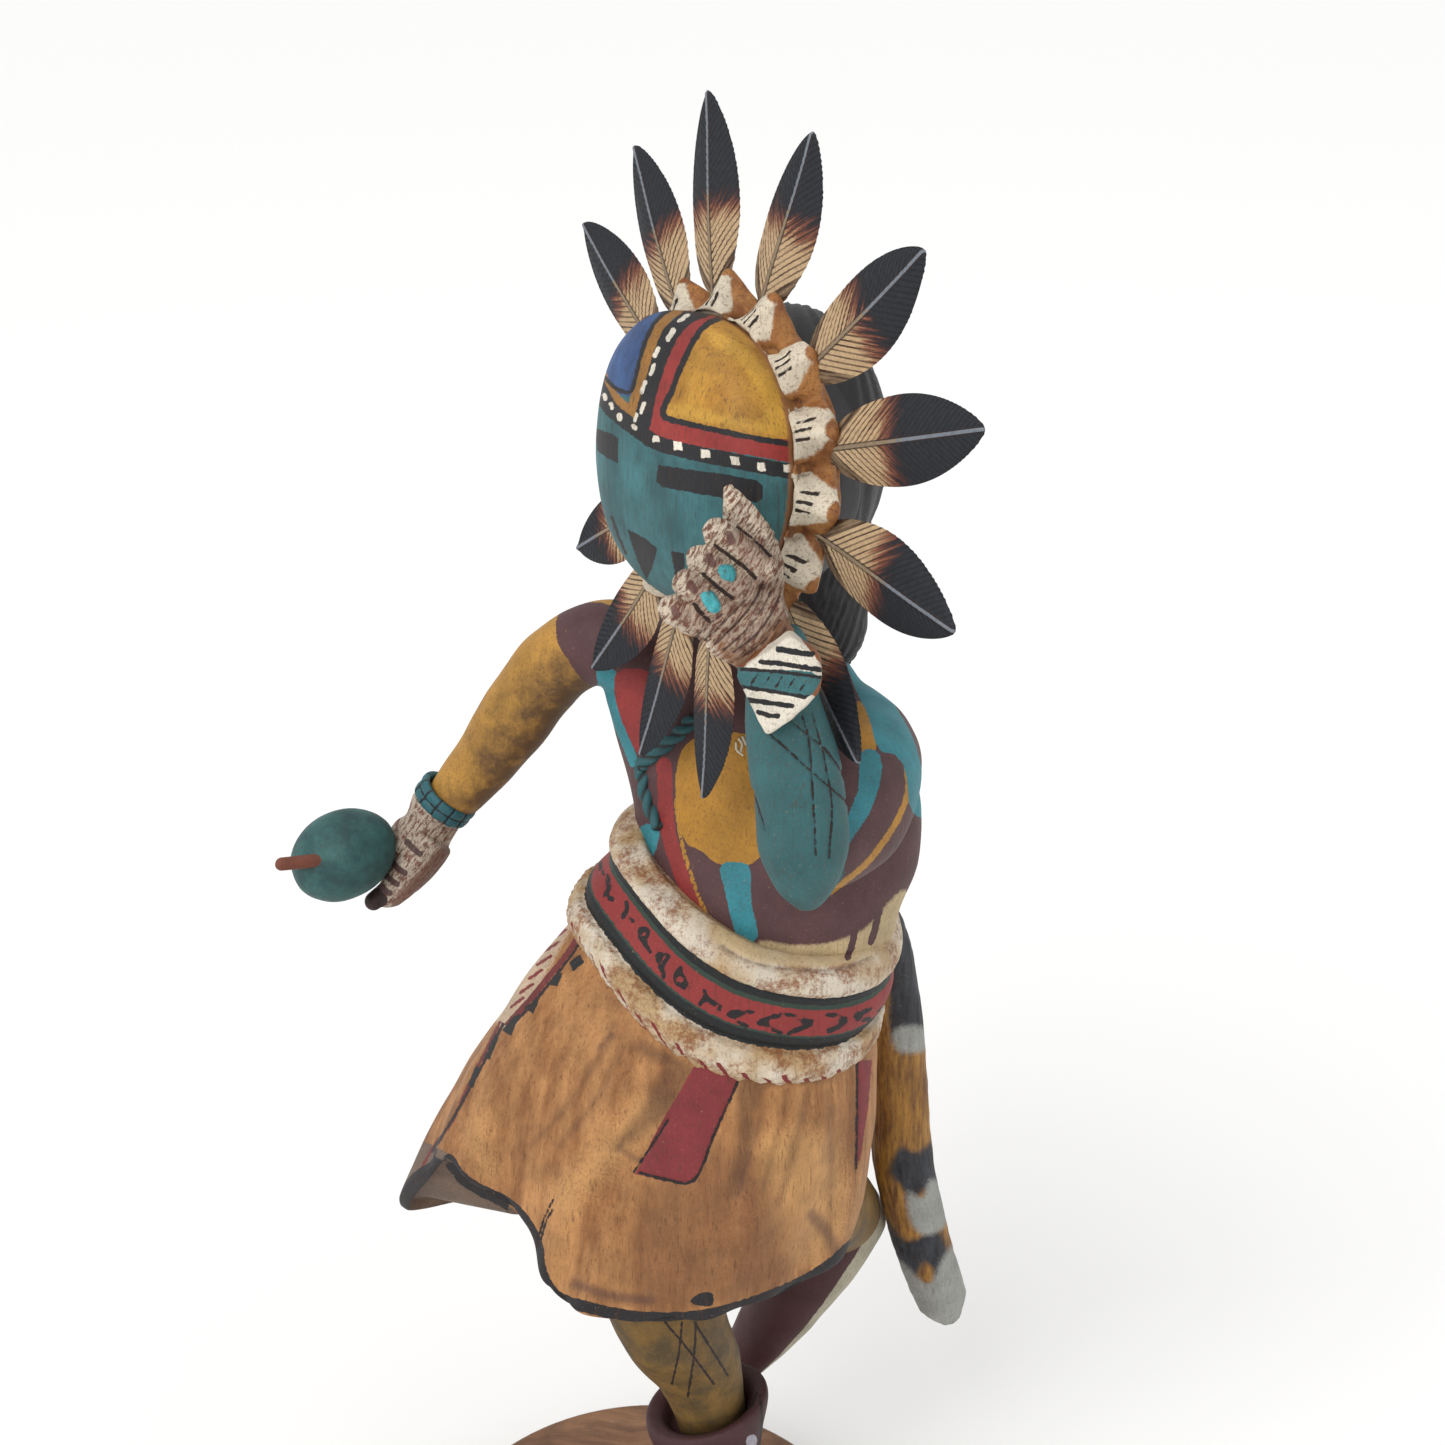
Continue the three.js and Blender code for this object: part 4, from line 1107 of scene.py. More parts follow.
MASK_LAYERS = [
    ("blue", [area((594, 375), (600, 345), (615, 320), (636, 303), (662, 296), (680, 302), (658, 322),
        (647, 345),
                   (640, 370), (632, 396), (612, 390))], None),
    ("ochre", [
        line(12, (694, 302), (670, 314), (655, 335), (646, 360), (639, 385), (633, 416)),
        line(19, (597, 374), (604, 391), (617, 406), (632, 417)),
    ], None),
    ("yellow", [area((716, 315), (697, 334), (685, 355), (672, 385), (662, 415), (690, 424), (720, 431),
        (760, 440),
                     (797, 446), (797, 420), (790, 394), (776, 366), (760, 342), (740, 320))], None),
    # Painted light: the bevel at the yellow's right is painted paler where it catches the light.
    ("yellow_light", [area((708, 330), (722, 334), (748, 348), (768, 374), (784, 404), (792, 434),
        (752, 430), (700, 421),
                           (668, 414), (674, 404), (720, 414), (762, 421), (766, 410), (752, 380),
                           (732, 355),
                           (710, 342))], None),
    ("red", [
        line(15, (714, 310), (696, 325), (681, 346), (670, 370), (660, 396), (652, 420), (648, 432)),
        area((643, 432), (668, 440), (700, 447), (730, 452), (760, 457), (800, 461), (799, 443), (765, 438),
             (720, 431), (690, 425), (660, 416)),
    ], None),
    ("black", [
        area((700, 306), (683, 312), (662, 332), (652, 358), (644, 385), (636, 420), (648, 430), (655, 400),
             (666, 365), (678, 338), (694, 322), (712, 314)),
        line(4, (674, 306), (655, 322), (644, 345), (637, 370), (630, 392), (614, 387), (600, 370)),
        line(6, (722, 317), (706, 325), (694, 340), (682, 365), (672, 390), (663, 415), (685, 423),
            (720, 431),
             (760, 439), (795, 445)),
        line(15, (598, 385), (608, 405), (620, 417), (636, 429), (655, 442), (690, 452), (730, 460),
            (765, 467),
             (800, 473)),
        area((658, 465), (700, 471), (730, 475), (757, 481), (763, 486), (762, 499), (756, 503), (735, 500),
             (700, 494), (662, 487), (656, 482), rounded=False),
        area((595, 428), (612, 434), (618, 438), (618, 463), (607, 458), (597, 450), rounded=False),
        area((627, 529), (643, 537), (657, 548), (653, 566), (647, 580), (637, 560), rounded=False),
        area((671, 551), (684, 553), (685, 573), (675, 575), rounded=False),
        line(3, (612, 517), (618, 535), (626, 553)),
        line(3, (597, 366), (600, 385), (606, 402)),
    ], None),
    ("white", [
        line(4, (688, 315), (679, 321)), line(5, (673, 330), (668, 339)), line(4, (658, 348), (655, 356)),
        line(4, (654, 365), (651, 374)), line(4, (645, 382), (642, 392)), line(4, (644, 403), (641, 412)),
        line(3.5, (637, 414), (635, 421)), line(4, (604, 395), (605, 399)), line(4, (611, 404), (612, 408)),
        line(5, (619, 415), (620, 419)), line(5, (633, 426), (635, 428)),
        area((652, 435), (659, 436), (660, 442), (653, 442), rounded=False),
        area((673, 441), (682, 442), (683, 451), (674, 450), rounded=False),
        area((700, 449), (710, 450), (711, 458), (701, 458), rounded=False),
        area((730, 456), (739, 457), (740, 465), (731, 465), rounded=False),
        area((757, 462), (765, 463), (766, 471), (758, 471), rounded=False),
        area((783, 464), (793, 465), (793, 473), (784, 472), rounded=False),
    ], None),
]


def make_mask():
    back = np.array([[-24, 0.0], [-22.5, 0.5], [-21, 0.62], [-14, 0.86], [-6, 0.97], [4.8, 1]])

    def place(u, v):
        turn = 2 * np.pi * u
        behind = v < 0.2
        z_back = np.interp(v / 0.2, np.linspace(0, 1, len(back)), back[:, 0])
        r_back = np.interp(v / 0.2, np.linspace(0, 1, len(back)), back[:, 1])
        share = np.clip((v - 0.2) / 0.8, 0, 1)
        lift = np.sin(share * np.pi / 2)
        r_front = np.maximum(1 - lift**2.7, 0) ** (1 / 2.7)
        z = np.where(behind, z_back, MASK_RIM + 0.96 * MASK_BULGE * lift)
        radius = MASK_RADIUS * np.where(behind, r_back, r_front)
        squareness = np.where(behind, 2, 2.25)
        cos, sin = np.cos(turn), np.sin(turn)
        x = radius * np.sign(cos) * np.abs(cos) ** (2 / squareness)
        y = radius * np.sign(sin) * np.abs(sin) ** (2 / squareness)
        # The brow stands out further than the chin.
        y = y + np.where(behind, 0, 5.0 * lift**1.2)
        x = x + np.where(behind, 0, 1.2 * lift)
        return onto_head(np.stack([x, y, z], 1))

    form = skin(300, 92, place)
    refine(form, drawn([shape for name, shapes, _ in MASK_LAYERS if name in ("black",
        "white") for shape in shapes]), 0.5, 1)
    whittle(form, 12, 0.3)

    def rim(spots):
        """Paint is rubbed off the mask's rim beside the husks."""
        local = off_head(spots)
        return np.maximum(local[:, 2] - MASK_RIM - 1.6, -4 - local[:, 0])

    def behind(spots):
        """The back of the head is under the hair's black paint."""
        return off_head(spots)[:, 2] - 1

    # Brush streaks on the face run up and down. A case mask is sanded smooth, so it shines a little.
    material = painted_wood(
        "sanded_casein_paint_mask", mottled("#2a555a", "#396c70"),
        [("blue", mottled("#263f6c", "#3a5c8c")), ("yellow", mottled("#9a6a22", "#b78632")),
         ("yellow_light", "#c4963a", 0.9, 0.75), ("ochre", "#94662a"), ("red", "#8f2f2c"), ("black", BLACK),
         ("white", WHITE), ("rim", "#8a5c38", 0.5, 0.9), ("behind", BLACK)],
        roughness=0.55, worn=0.03, grimy=0.3, grained=0.65, mottle=0.3,
    )
    finish_piece("mask", form, material, ["figure"],
        MASK_LAYERS + [("rim", [], rim), ("behind", [], behind)])


FIRST_TAB = 66 / 360  # the place of one husk's middle, as a share of the way round from the crown


def ruff_measures(spots):
    """Place along the ruff in husks, counted from a husk's edge, and radius and height there."""
    local = off_head(spots)
    radius = np.hypot(local[:, 0], local[:, 1])
    clock = np.arctan2(local[:, 0], local[:, 1]) / (2 * np.pi)
    return ((clock - FIRST_TAB) * RUFF_TABS + 0.5) % 1, radius, local[:, 2]


def make_ruff():
    inner = MASK_RADIUS - 3
    profile = curve([
        [inner, -4.6], [MASK_RADIUS + 1.2, -4.6], [MASK_RADIUS + 5, -1.4], [RUFF_RADIUS + 0.4, 2.0],
        [RUFF_RADIUS - 1.2, 3.9], [MASK_RADIUS + 4, 5.6], [MASK_RADIUS + 1.2, MASK_RIM + 0.9],
        [MASK_RADIUS - 0.6, MASK_RIM - 1.2], [inner, MASK_RIM - 3], [inner - 0.5, 0],
    ], True)

    def place(u, v):
        radius, z = profile(v).T
        turn = 2 * np.pi * u
        local = np.stack([radius * np.sin(turn), radius * np.cos(turn), z], 1)
        share = ((u - FIRST_TAB) * RUFF_TABS + 0.5) % 1
        edge = np.abs(share - 0.5) * 2
        outer = np.clip((radius - MASK_RADIUS - 0.8) / 4.5, 0, 1)
        # Each husk is carved as a low pyramid: it comes to a point outwards and falls away to deep
        # notches, on one side more steeply than on the other.
        slope = np.where(share < 0.5, edge**1.15, np.clip(edge * 1.25 - 0.12, 0, 1))
        notch = (TAB_HEIGHT + 1.4) * slope * outer
        local[:, :2] *= (1 - notch / radius)[:, None]
        local[:, 2] -= slope * outer * 2.6 * (z > -1)
        return onto_head(local)

    form = skin(560, 60, place)
    whittle(form, 3.5, 0.4, 7.0)

    def white_faces(spots):
        share, radius, z = ruff_measures(spots)
        half = 0.43 - 0.034 * np.clip(radius - MASK_RADIUS, 0, 9)
        across = (np.abs(share - 0.43) - half) * 13
        return np.maximum(np.maximum(across, radius - RUFF_RADIUS + 0.9), 0.2 - z)

    def strokes(spots):
        share, radius, z = ruff_measures(spots)
        marks = np.minimum.reduce([np.abs(share - middle) for middle in (0.29, 0.42, 0.55)])
        return np.maximum(np.maximum(marks * 13 - 0.32, np.abs(radius - MASK_RADIUS - 3.3) - 1.5), 1.5 - z)

    share, radius, z = ruff_measures(spots_of(form))
    groove = np.clip(1 - np.abs(radius - MASK_RADIUS - 0.5) / 0.5, 0, 1) * (z > 2)
    stroke_cut = np.clip(-strokes(spots_of(form)) / 0.3, 0, 1)
    sink(form, 0.6 * groove + 0.35 * stroke_cut)
    layers = [("white_faces", [], white_faces), ("strokes", [], strokes)]
    # Raw orange cottonwood with chalky white on the husks' faces and knife-cut strokes.
    material = painted_wood(
        "raw_cottonwood_ruff", mottled("#7f4c28", "#a8743f", 0.3),
        [("white_faces", "#cdc1ac", 0.25, 1.0), ("strokes", "#1f1a18")],
        worn=0.2, wear="#8c5428", grime="#4a2d1a", grimy=0.8, bump=0.4, mottle=0.25,
    )
    # The groove beside the mask is darkened by its cut value as painted shade.
    finish_piece("husk_ruff", form, material, ["figure"], layers, cuts=groove * 0.5)


def make_hair():
    fall = [
        [30, 0, 326, 10], [33, 3, 315, 16, 15], [34, 7, 298, 17, 16], [34.5, 11, 276, 17.5, 14],
        [35, 16, 256, 17, 13], [35, 20, 242, 10, 7],
    ]
    form = fuse([egg(above([31.6, -11, 307.6]), (22, 25, 29)), limb(fall)], 0.95, 4)
    spots = spots_of(form)
    clock = np.arctan2(spots[:, 1] - 6, spots[:, 0] - 34)
    wave = grain(spots, 16, 0.5)
    strands = np.cos(clock * 44 + wave * 5) * 0.5 + np.cos(clock * 71 + wave * 9) * 0.25
    sink(form, strands * 0.45)
    # Black painted hair, combed with a gouge: the strands catch the light as thin grey lines.
    material = painted_wood(
        "gouged_black_hair", "#1f1e21", (), grain_way=(1.4, 1.4, 0.1), roughness=0.5, grimy=0.1, worn=0.04,
        wear="#5a4636", bump=0.3,
    )
    # The hollows between the strands are darkened by their cut value as painted shade.
    finish_piece("hair", form, material, ["figure"], cuts=np.clip(strands - 0.3, 0, 0.5))


def feather_half(v):
    """The leaf's half breadth as a share, from its root to its tip."""
    return 0.37 * (1 - v) ** 3 + np.sin(np.pi * np.clip(v, 0, 1) ** 0.97) ** 0.68


def make_feathers():
    # Matt paint on thin split cottonwood: cream at the root, a ragged brown edge, then black.
    material = bpy.data.materials.new("painted_split_feather")
    add = maker(material)
    flat = add("UVMap", uv_map="paint_map").outputs[0]
    across, along, _ = add("SeparateXYZ", {0: flat}).outputs
    spot = add("VectorMath", {0: add("TexCoord").outputs["Object"], "Scale": METRE_TO_MM},
        operation="SCALE").outputs[0]
    side = add("Math", {0: across}, operation="ABSOLUTE").outputs[0]
    # Barbs lie 1.6 mm apart and lean 50 degrees from the quill, and the paint runs out along them.
    lean = add("Math", {0: side, 1: -1.1, 2: along}, operation="MULTIPLY_ADD").outputs[0]
    strand = add("VectorMath", {0: add("CombineXYZ", {0: across, 1: lean}).outputs[0], 1: (0.15, 1.3, 1)},
        operation="MULTIPLY")
    own = add("VectorMath", {0: add("VectorMath", {0: spot, "Scale": 0.05}, operation="SCALE").outputs[0],
                             1: strand.outputs[0]}, operation="ADD").outputs[0]
    ragged = add("TexNoise", {"Vector": own, "Scale": 0.9, "Detail": 4.0, "Roughness": 0.65}).outputs["Fac"]
    reach = add("Math", {0: ragged, 1: 15.0, 2: along}, operation="MULTIPLY_ADD").outputs[0]
    reach = add("Math", {0: reach, 1: 4.0}, operation="SUBTRACT").outputs[0]
    fade = add("ValToRGB", {"Fac": add("MapRange", {"Value": reach, 1: 0.0, 2: 40.0}).outputs[0]})
    fade.color_ramp.elements[0].color = linear("#bfa583")
    fade.color_ramp.elements[1].color = linear("#1b1c20")
    for position, shade in ((0.40, "#b59874"), (0.47, "#7d4a36"), (0.52, "#4a2c2c"), (0.56, "#1c1c21")):
        fade.color_ramp.elements.new(position).color = linear(shade)
    turn = add("Math", {0: lean, 1: 1.6}, operation="MODULO").outputs[0]
    barb = add("Math", {0: turn, 1: 0.5}, operation="LESS_THAN").outputs[0]
    # Each barb line is pressed harder in some places than in others.
    press = add("MapRange", {"Value": ragged, 1: 0.35, 2: 0.6, 3: 0.45, 4: 1.0}).outputs[0]
    amount = add("Math", {0: barb, 1: press}, operation="MULTIPLY").outputs[0]
    lined = add(
        "Mix", {FACTOR: amount, FIRST: fade.outputs[0], SECOND: linear("#3d2a20")}, data_type="RGBA"
    ).outputs[MIXED]
    dark = add("MapRange", {"Value": reach, 1: 21.0, 2: 23.5, 3: 0.0, 4: 1.0}).outputs[0]
    black = add(
        "Mix", {FACTOR: add("Math", {0: barb, 1: 0.5}, operation="MULTIPLY").outputs[0],
                FIRST: linear("#24262b"), SECOND: linear("#101114")}, data_type="RGBA"
    ).outputs[MIXED]
    vane = add("Mix", {FACTOR: dark, FIRST: lined, SECOND: black}, data_type="RGBA").outputs[MIXED]
    rim = add("Math", {0: side, 1: 0.62}, operation="LESS_THAN").outputs[0]
    edged = add("Math", {0: rim, 1: 0.8}, operation="MULTIPLY").outputs[0]
    vane = add("Mix", {FACTOR: edged, FIRST: vane, SECOND: linear("#2c2220")},
        data_type="RGBA").outputs[MIXED]
    quill = add("Math", {0: side, 1: 0.33}, operation="LESS_THAN").outputs[0]
    shaft = add(
        "Mix", {FACTOR: dark, FIRST: linear("#8a7760"), SECOND: linear("#72777f")}, data_type="RGBA"
    ).outputs[MIXED]
    colour = add("Mix", {FACTOR: quill, FIRST: vane, SECOND: shaft}, data_type="RGBA").outputs[MIXED]
    wear = add("TexNoise", {"Vector": spot, "Scale": 1.1, "Detail": 5.0, "Roughness": 0.7}).outputs["Fac"]
    value = add("MapRange", {"Value": wear, 1: 0.3, 2: 0.7, 3: 0.78, 4: 1.2}).outputs[0]
    shaded = add("HueSaturation", {"Value": value, "Color": colour}).outputs[0]
    relief = add("Bump", {"Height": wear, "Strength": 0.2, "Distance": 0.0003}).outputs[0]
    surface = add(
        "BsdfPrincipled", {"Base Color": shaded, "Roughness": 0.62, "Normal": relief,
            "Specular IOR Level": 0.3}
    )
    add("OutputMaterial", {"Surface": surface.outputs[0]})

    root = RUFF_RADIUS - TAB_HEIGHT + 0.3
    for index, (clock, sweep, reach, breadth) in enumerate(FEATHERS):
        length = FEATHER_TIP * reach - root
        half = FEATHER_WIDTH * breadth / 2
        spin = Matrix.Rotation(math.radians(-clock), 4, "Z")
        pivot = Matrix.Translation((0, RUFF_RADIUS - TAB_HEIGHT - TANG_DEPTH, 0))
        swept = Matrix.Rotation(math.radians(-sweep), 4, "X")
        stand = np.array(HEAD @ spin @ pivot @ swept @ pivot.inverted())
        low = -TANG_DEPTH / length

        def leaf(u, v, half=half, length=length, low=low, index=index):
            """Points across the vane on its front and back, in the feather's own plane."""
            share = low + v * (1 - low)
            turn = 2 * np.pi * u
            wide = np.where(share < 0, 0.37, feather_half(np.maximum(share, 0))) * half
            x = wide * np.cos(turn)
            y = root + share * length
            edge = np.abs(np.cos(turn))
            thick = 1.15 * (1 - edge**4) * (1 - 0.6 * np.clip(share, 0, 1)) * np.where(v > 0.995, 0, 1)
            ridge = 0.35 * np.exp(-((x / 0.5) ** 2))
            barb = ((y - root - np.abs(x) * 1.1) % 1.6 < 0.55) * 0.2
            front = np.sin(turn) > 0
            cup = -0.9 * (x / half) ** 2 * np.clip(share * 3, 0, 1)
            z = np.sin(turn) * thick + cup + np.where(front, ridge - barb * (np.abs(x) > 0.5), 0)
            z += 0.25 * np.sin(share * 5 + index)
            return x, y, z

        def place(u, v, leaf=leaf, stand=stand):
            local = np.stack(leaf(u, v), 1)
            return local @ stand[:3, :3].T + stand[:3, 3]

        def flat_map(u, v, leaf=leaf):
            x, y, _ = leaf(u, v)
            return np.stack([x, y - root], 1)

        form = skin(52, 80, place, flat_map)
        finish_piece(f"feather_{index + 1:02d}_vane", form, material,
            [f"feather_{index + 1:02d}"])


# Hands and what they hold


HAND_PAINT_MARKS = [
    line(2, (705, 640), (728, 618), (745, 600)), line(2.4, (714, 645), (738, 622), (755, 600), (764, 580)),
    line(2, (724, 650), (748, 628), (764, 606), (772, 588)),
    line(2.4, (734, 652), (757, 634), (772, 612), (780, 596)),
    line(2, (745, 655), (765, 640), (780, 620)), line(2, (697, 636), (712, 622), (722, 614)),
    line(2, (756, 658), (774, 645), (786, 628)),
]
HAND_LAYERS = [
    # Brown wash on the fingers and the back of the hand, deepened as painted shade.
    ("brown_wash", [
        area((676, 600), (700, 598), (712, 625), (702, 636), (676, 622)),
        area((690, 575), (716, 590), (732, 618), (712, 622), (696, 602)),
        area((715, 556), (745, 575), (760, 592), (738, 598), (716, 580)),
        area((735, 530), (765, 545), (775, 560), (755, 572), (738, 560)),
        area((705, 625), (750, 575), (790, 590), (790, 660), (740, 665)),
    ], None),
    ("wrist", [area((716, 640), (745, 655), (775, 625), (800, 600), (806, 625), (790, 640), (765, 660),
        (735, 672))], None),
    ("nails", [
        line(8, (729, 535), (732, 541)), line(8, (709, 557), (712, 563)), line(8, (690, 584), (694, 590)),
        line(8, (674, 608), (677, 615)),
    ], None),
    ("hand_lines", HAND_PAINT_MARKS, None),
    # Dark slits between the fingers: painted shade in the carved gaps.
    ("slits", [
        line(4, (715, 545), (728, 555), (744, 567), (755, 578)), line(4, (703, 574), (715, 585), (732, 598)),
        line(4, (694, 604), (702, 614), (709, 621)), line(3, (737, 527), (755, 541), (770, 556)),
    ], None),
    ("stones", [
        area((719, 566), (731, 565), (736, 573), (734, 582), (724, 580), (718, 573)),
        area((701, 594), (711, 591), (719, 600), (720, 611), (712, 613), (702, 602)),
    ], None),
]
HAND_SHAPES = {name: shapes for name, shapes, _ in HAND_LAYERS}


SCORE_WAY = unit([0.55, 0, 0.84])
SCORE_ACROSS = unit([0.84, 0, -0.55])


def scored(way, across, white, brown):
    """Chalk white on the ridges between knife scores, brown wash in them."""

    def ground(add, spot):
        over = add("VectorMath", {0: spot, 1: tuple(across)}, operation="DOT_PRODUCT").outputs["Value"]
        up = add("VectorMath", {0: spot, 1: tuple(way)}, operation="DOT_PRODUCT").outputs["Value"]
        laid = add("CombineXYZ", {0: over, 1: add("Math", {0: up, 1: 0.28},
            operation="MULTIPLY").outputs[0]})
        lines = add("TexNoise", {"Vector": laid.outputs[0], "Scale": 1.6, "Detail": 6.0,
            "Roughness": 0.75}).outputs["Fac"]
        amount = add("MapRange", {"Value": lines, 1: 0.47, 2: 0.56, 3: 0.0, 4: 1.0}).outputs[0]
        return add("Mix", {FACTOR: amount, FIRST: linear(white), SECOND: linear(brown)},
            data_type="RGBA").outputs[MIXED]

    return ground


def make_mask_hand():
    fingers = [
        ([19.5, -60.5, 285.8], [10.2, -62, 291.5]), ([20.5, -62, 290], [12.9, -63, 297.1]),
        ([24, -62.5, 295], [15.6, -64, 302.2]), ([27.3, -62.5, 299.6], [18.6, -64, 307.4]),
    ]
    pointing = [
        [26.5, -58, 292, 4.8, 3.8], [26.2, -58, 300, 4.8, 3.4], [23.4, -59.5, 308, 3.8, 2.4],
        [20.4, -60, 315.4, 0.9],
    ]
    heel = [[17, -60.5, 285.6, 2.6], [21, -60.2, 284.4, 4.2], [26.5, -60, 284, 5.4]]
    wrist = [[30.5, -61.5, 278, 6], [27.5, -60, 283, 6.6], [24, -59.8, 288, 7]]
    form = fuse(
        [egg(above([24.4, -59, 289]), (7.4, 4.7, 9.4)), limb(pointing), limb(wrist), limb(heel)]
        + [rod(above(start), above(end), 2.8) for start, end in fingers],
        0.38, 4,
    )
    spots = spots_of(form)
    pixels, scale = on_photo(spots)
    cuts = np.minimum.reduce([shape(pixels) / scale for shape in HAND_SHAPES["hand_lines"] + HAND_SHAPES["slits"]])
    stones = np.minimum.reduce([shape(pixels) / scale for shape in HAND_SHAPES["stones"]])
    front = np.array([v.normal.y for v in form.verts]) < 0.25
    # Knife scores run up the back of the hand, about a millimetre apart.
    scores = grain(np.stack([spots @ SCORE_ACROSS, (spots @ SCORE_WAY) * 0.16, spots[:, 1] * 0.3], 1), 0.9,
        0.32)
    sink(form, np.where(front, 0.45 * np.clip(0.5 - cuts, 0, 0.9) - np.clip(-stones, 0, 0.6), 0) + scores)

    material = painted_wood(
        "scored_white_hand", scored(SCORE_WAY, SCORE_ACROSS, "#cdbea9", "#6b4433"),
        [("brown_wash", "#6b4234", 1.2, 0.45), ("wrist", "#7d5230", 1.5, 0.8),
            ("nails", "#5c3432", 0.2, 0.85),
         ("hand_lines", "#3a2420", 0.1, 0.85), ("slits", "#241917"),
         ("stones", mottled("#2f8f96", "#4fb0b6", 0.6))],
        worn=0.1, wear="#8a5238", grime="#5c3826", grimy=0.8, bump=0.5, mottle=0.3,
    )
    finish_piece("lifted_hand", form, material, ["figure"], HAND_LAYERS)


FIST = above([-56, 27.7, 191.8])
HANDLE_WAY = unit([-0.918, -0.371, 0.144])
WRIST = above([-46.9, 31, 205.6])
WRIST_WAY = unit([-0.62, 0, -0.78])


def make_rattle_hand():
    # The fingers are one carved wedge round the stick, with a lower plane behind it.
    forms = [
        egg(FIST + np.array([1.8, 1, 3]), (7.2, 6.6, 7.4), HANDLE_WAY),
        limb([[-49.5, 26.5, 198, 5.2], [-55.5, 23.5, 190.5, 4.8], [-60.5, 22, 184.5, 3.4],
            [-62.6, 21.4, 182.4, 1.6]]),
        rod(above([-60.6, 23, 186]), above([-64.2, 21, 183.4]), 2.3),
        limb([[-48.6, 29, 195, 3.4], [-52.6, 26.5, 189.6, 3.4], [-57.5, 24.5, 184.6, 2.4],
            [-60, 23.5, 182, 1.2]]),
        limb([[-48.3, 31, 204.5, 6.9], [-51, 30.2, 199, 6.4], [-53.5, 29, 195.5, 6.6]]),
    ]
    form = fuse(forms, 0.38, 3)
    whittle(form, 4, 0.3, 5.0)
    layers = [
        ("hand_bars", [
            line(6, (407, 842), (414, 849), (420, 854)), line(6, (391, 861), (398, 868), (405, 873)),
            line(6, (384, 874), (391, 880), (397, 884)), line(6, (379, 884), (385, 890), (390, 893)),
        ], None),
        # The fist's underside behind the stick: the palm's brown paint, deepened as painted shade.
        ("under", [area((398, 894), (420, 872), (436, 852), (448, 846), (456, 860), (420, 892),
            (392, 912))], None),
        ("dark_tip", [area((378, 888), (388, 902), (372, 912), (364, 902), (370, 892))], None),
    ]
    # White-rubbed knuckles with maroon bars across the fingers.
    material = painted_wood(
        "rubbed_white_fist", scored(WRIST_WAY, unit([0.78, 0, -0.62]), "#b3a594", "#6b4638"),
        [("under", "#6a463a", 0.5, 0.8), ("hand_bars", "#3d2528", 0.12, 0.9), ("dark_tip", "#2a1c1c")],
        worn=0.2, wear="#7d5440", grime="#54352b", grimy=0.8, bump=0.4,
    )
    finish_piece("rattle_hand", form, material, ["figure"], layers)


def about(way, centre):
    """A frame whose z axis runs along the way."""
    turn = Vector((0, 0, 1)).rotation_difference(Vector(way)).to_matrix().to_4x4()
    return np.array(Matrix.Translation(Vector(centre)) @ turn)


def make_bracelet():
    stand = about(WRIST_WAY, WRIST)
    profile = curve([[6.2, -2.2], [7.3, -2.3], [7.7, -1.2], [7.5, 0], [7.7, 1.2], [7.3, 2.3], [6.2, 2.2],
        [5.6, 0]], True)

    def place(u, v):
        radius, z = profile(v).T
        turn = 2 * np.pi * u
        radius = radius - 0.25 * (np.abs(np.cos(turn * 6)) < 0.25)
        local = np.stack([radius * np.cos(turn), radius * np.sin(turn), z], 1)
        return local @ stand[:3, :3].T + stand[:3, 3]

    form = skin(180, 32, place)
    whittle(form, 3, 0.2, 2.0)

    def grid(spots):
        local = (spots - stand[:3, 3]) @ stand[:3, :3]
        turn = np.arctan2(local[:, 1], local[:, 0])
        upright = np.abs((turn / (2 * np.pi) * 12) % 1 - 0.5) * 3.9 - 0.28
        return np.minimum(upright, np.abs(local[:, 2]) - 0.22)

    # Turquoise squares of a bracelet, painted darker than the gourd.
    material = painted_wood("painted_bracelet", "#255a62", [("grid", "#141d22")], roughness=0.55)
    finish_piece("bracelet", form, material, ["figure"], [("grid", [], grid)])


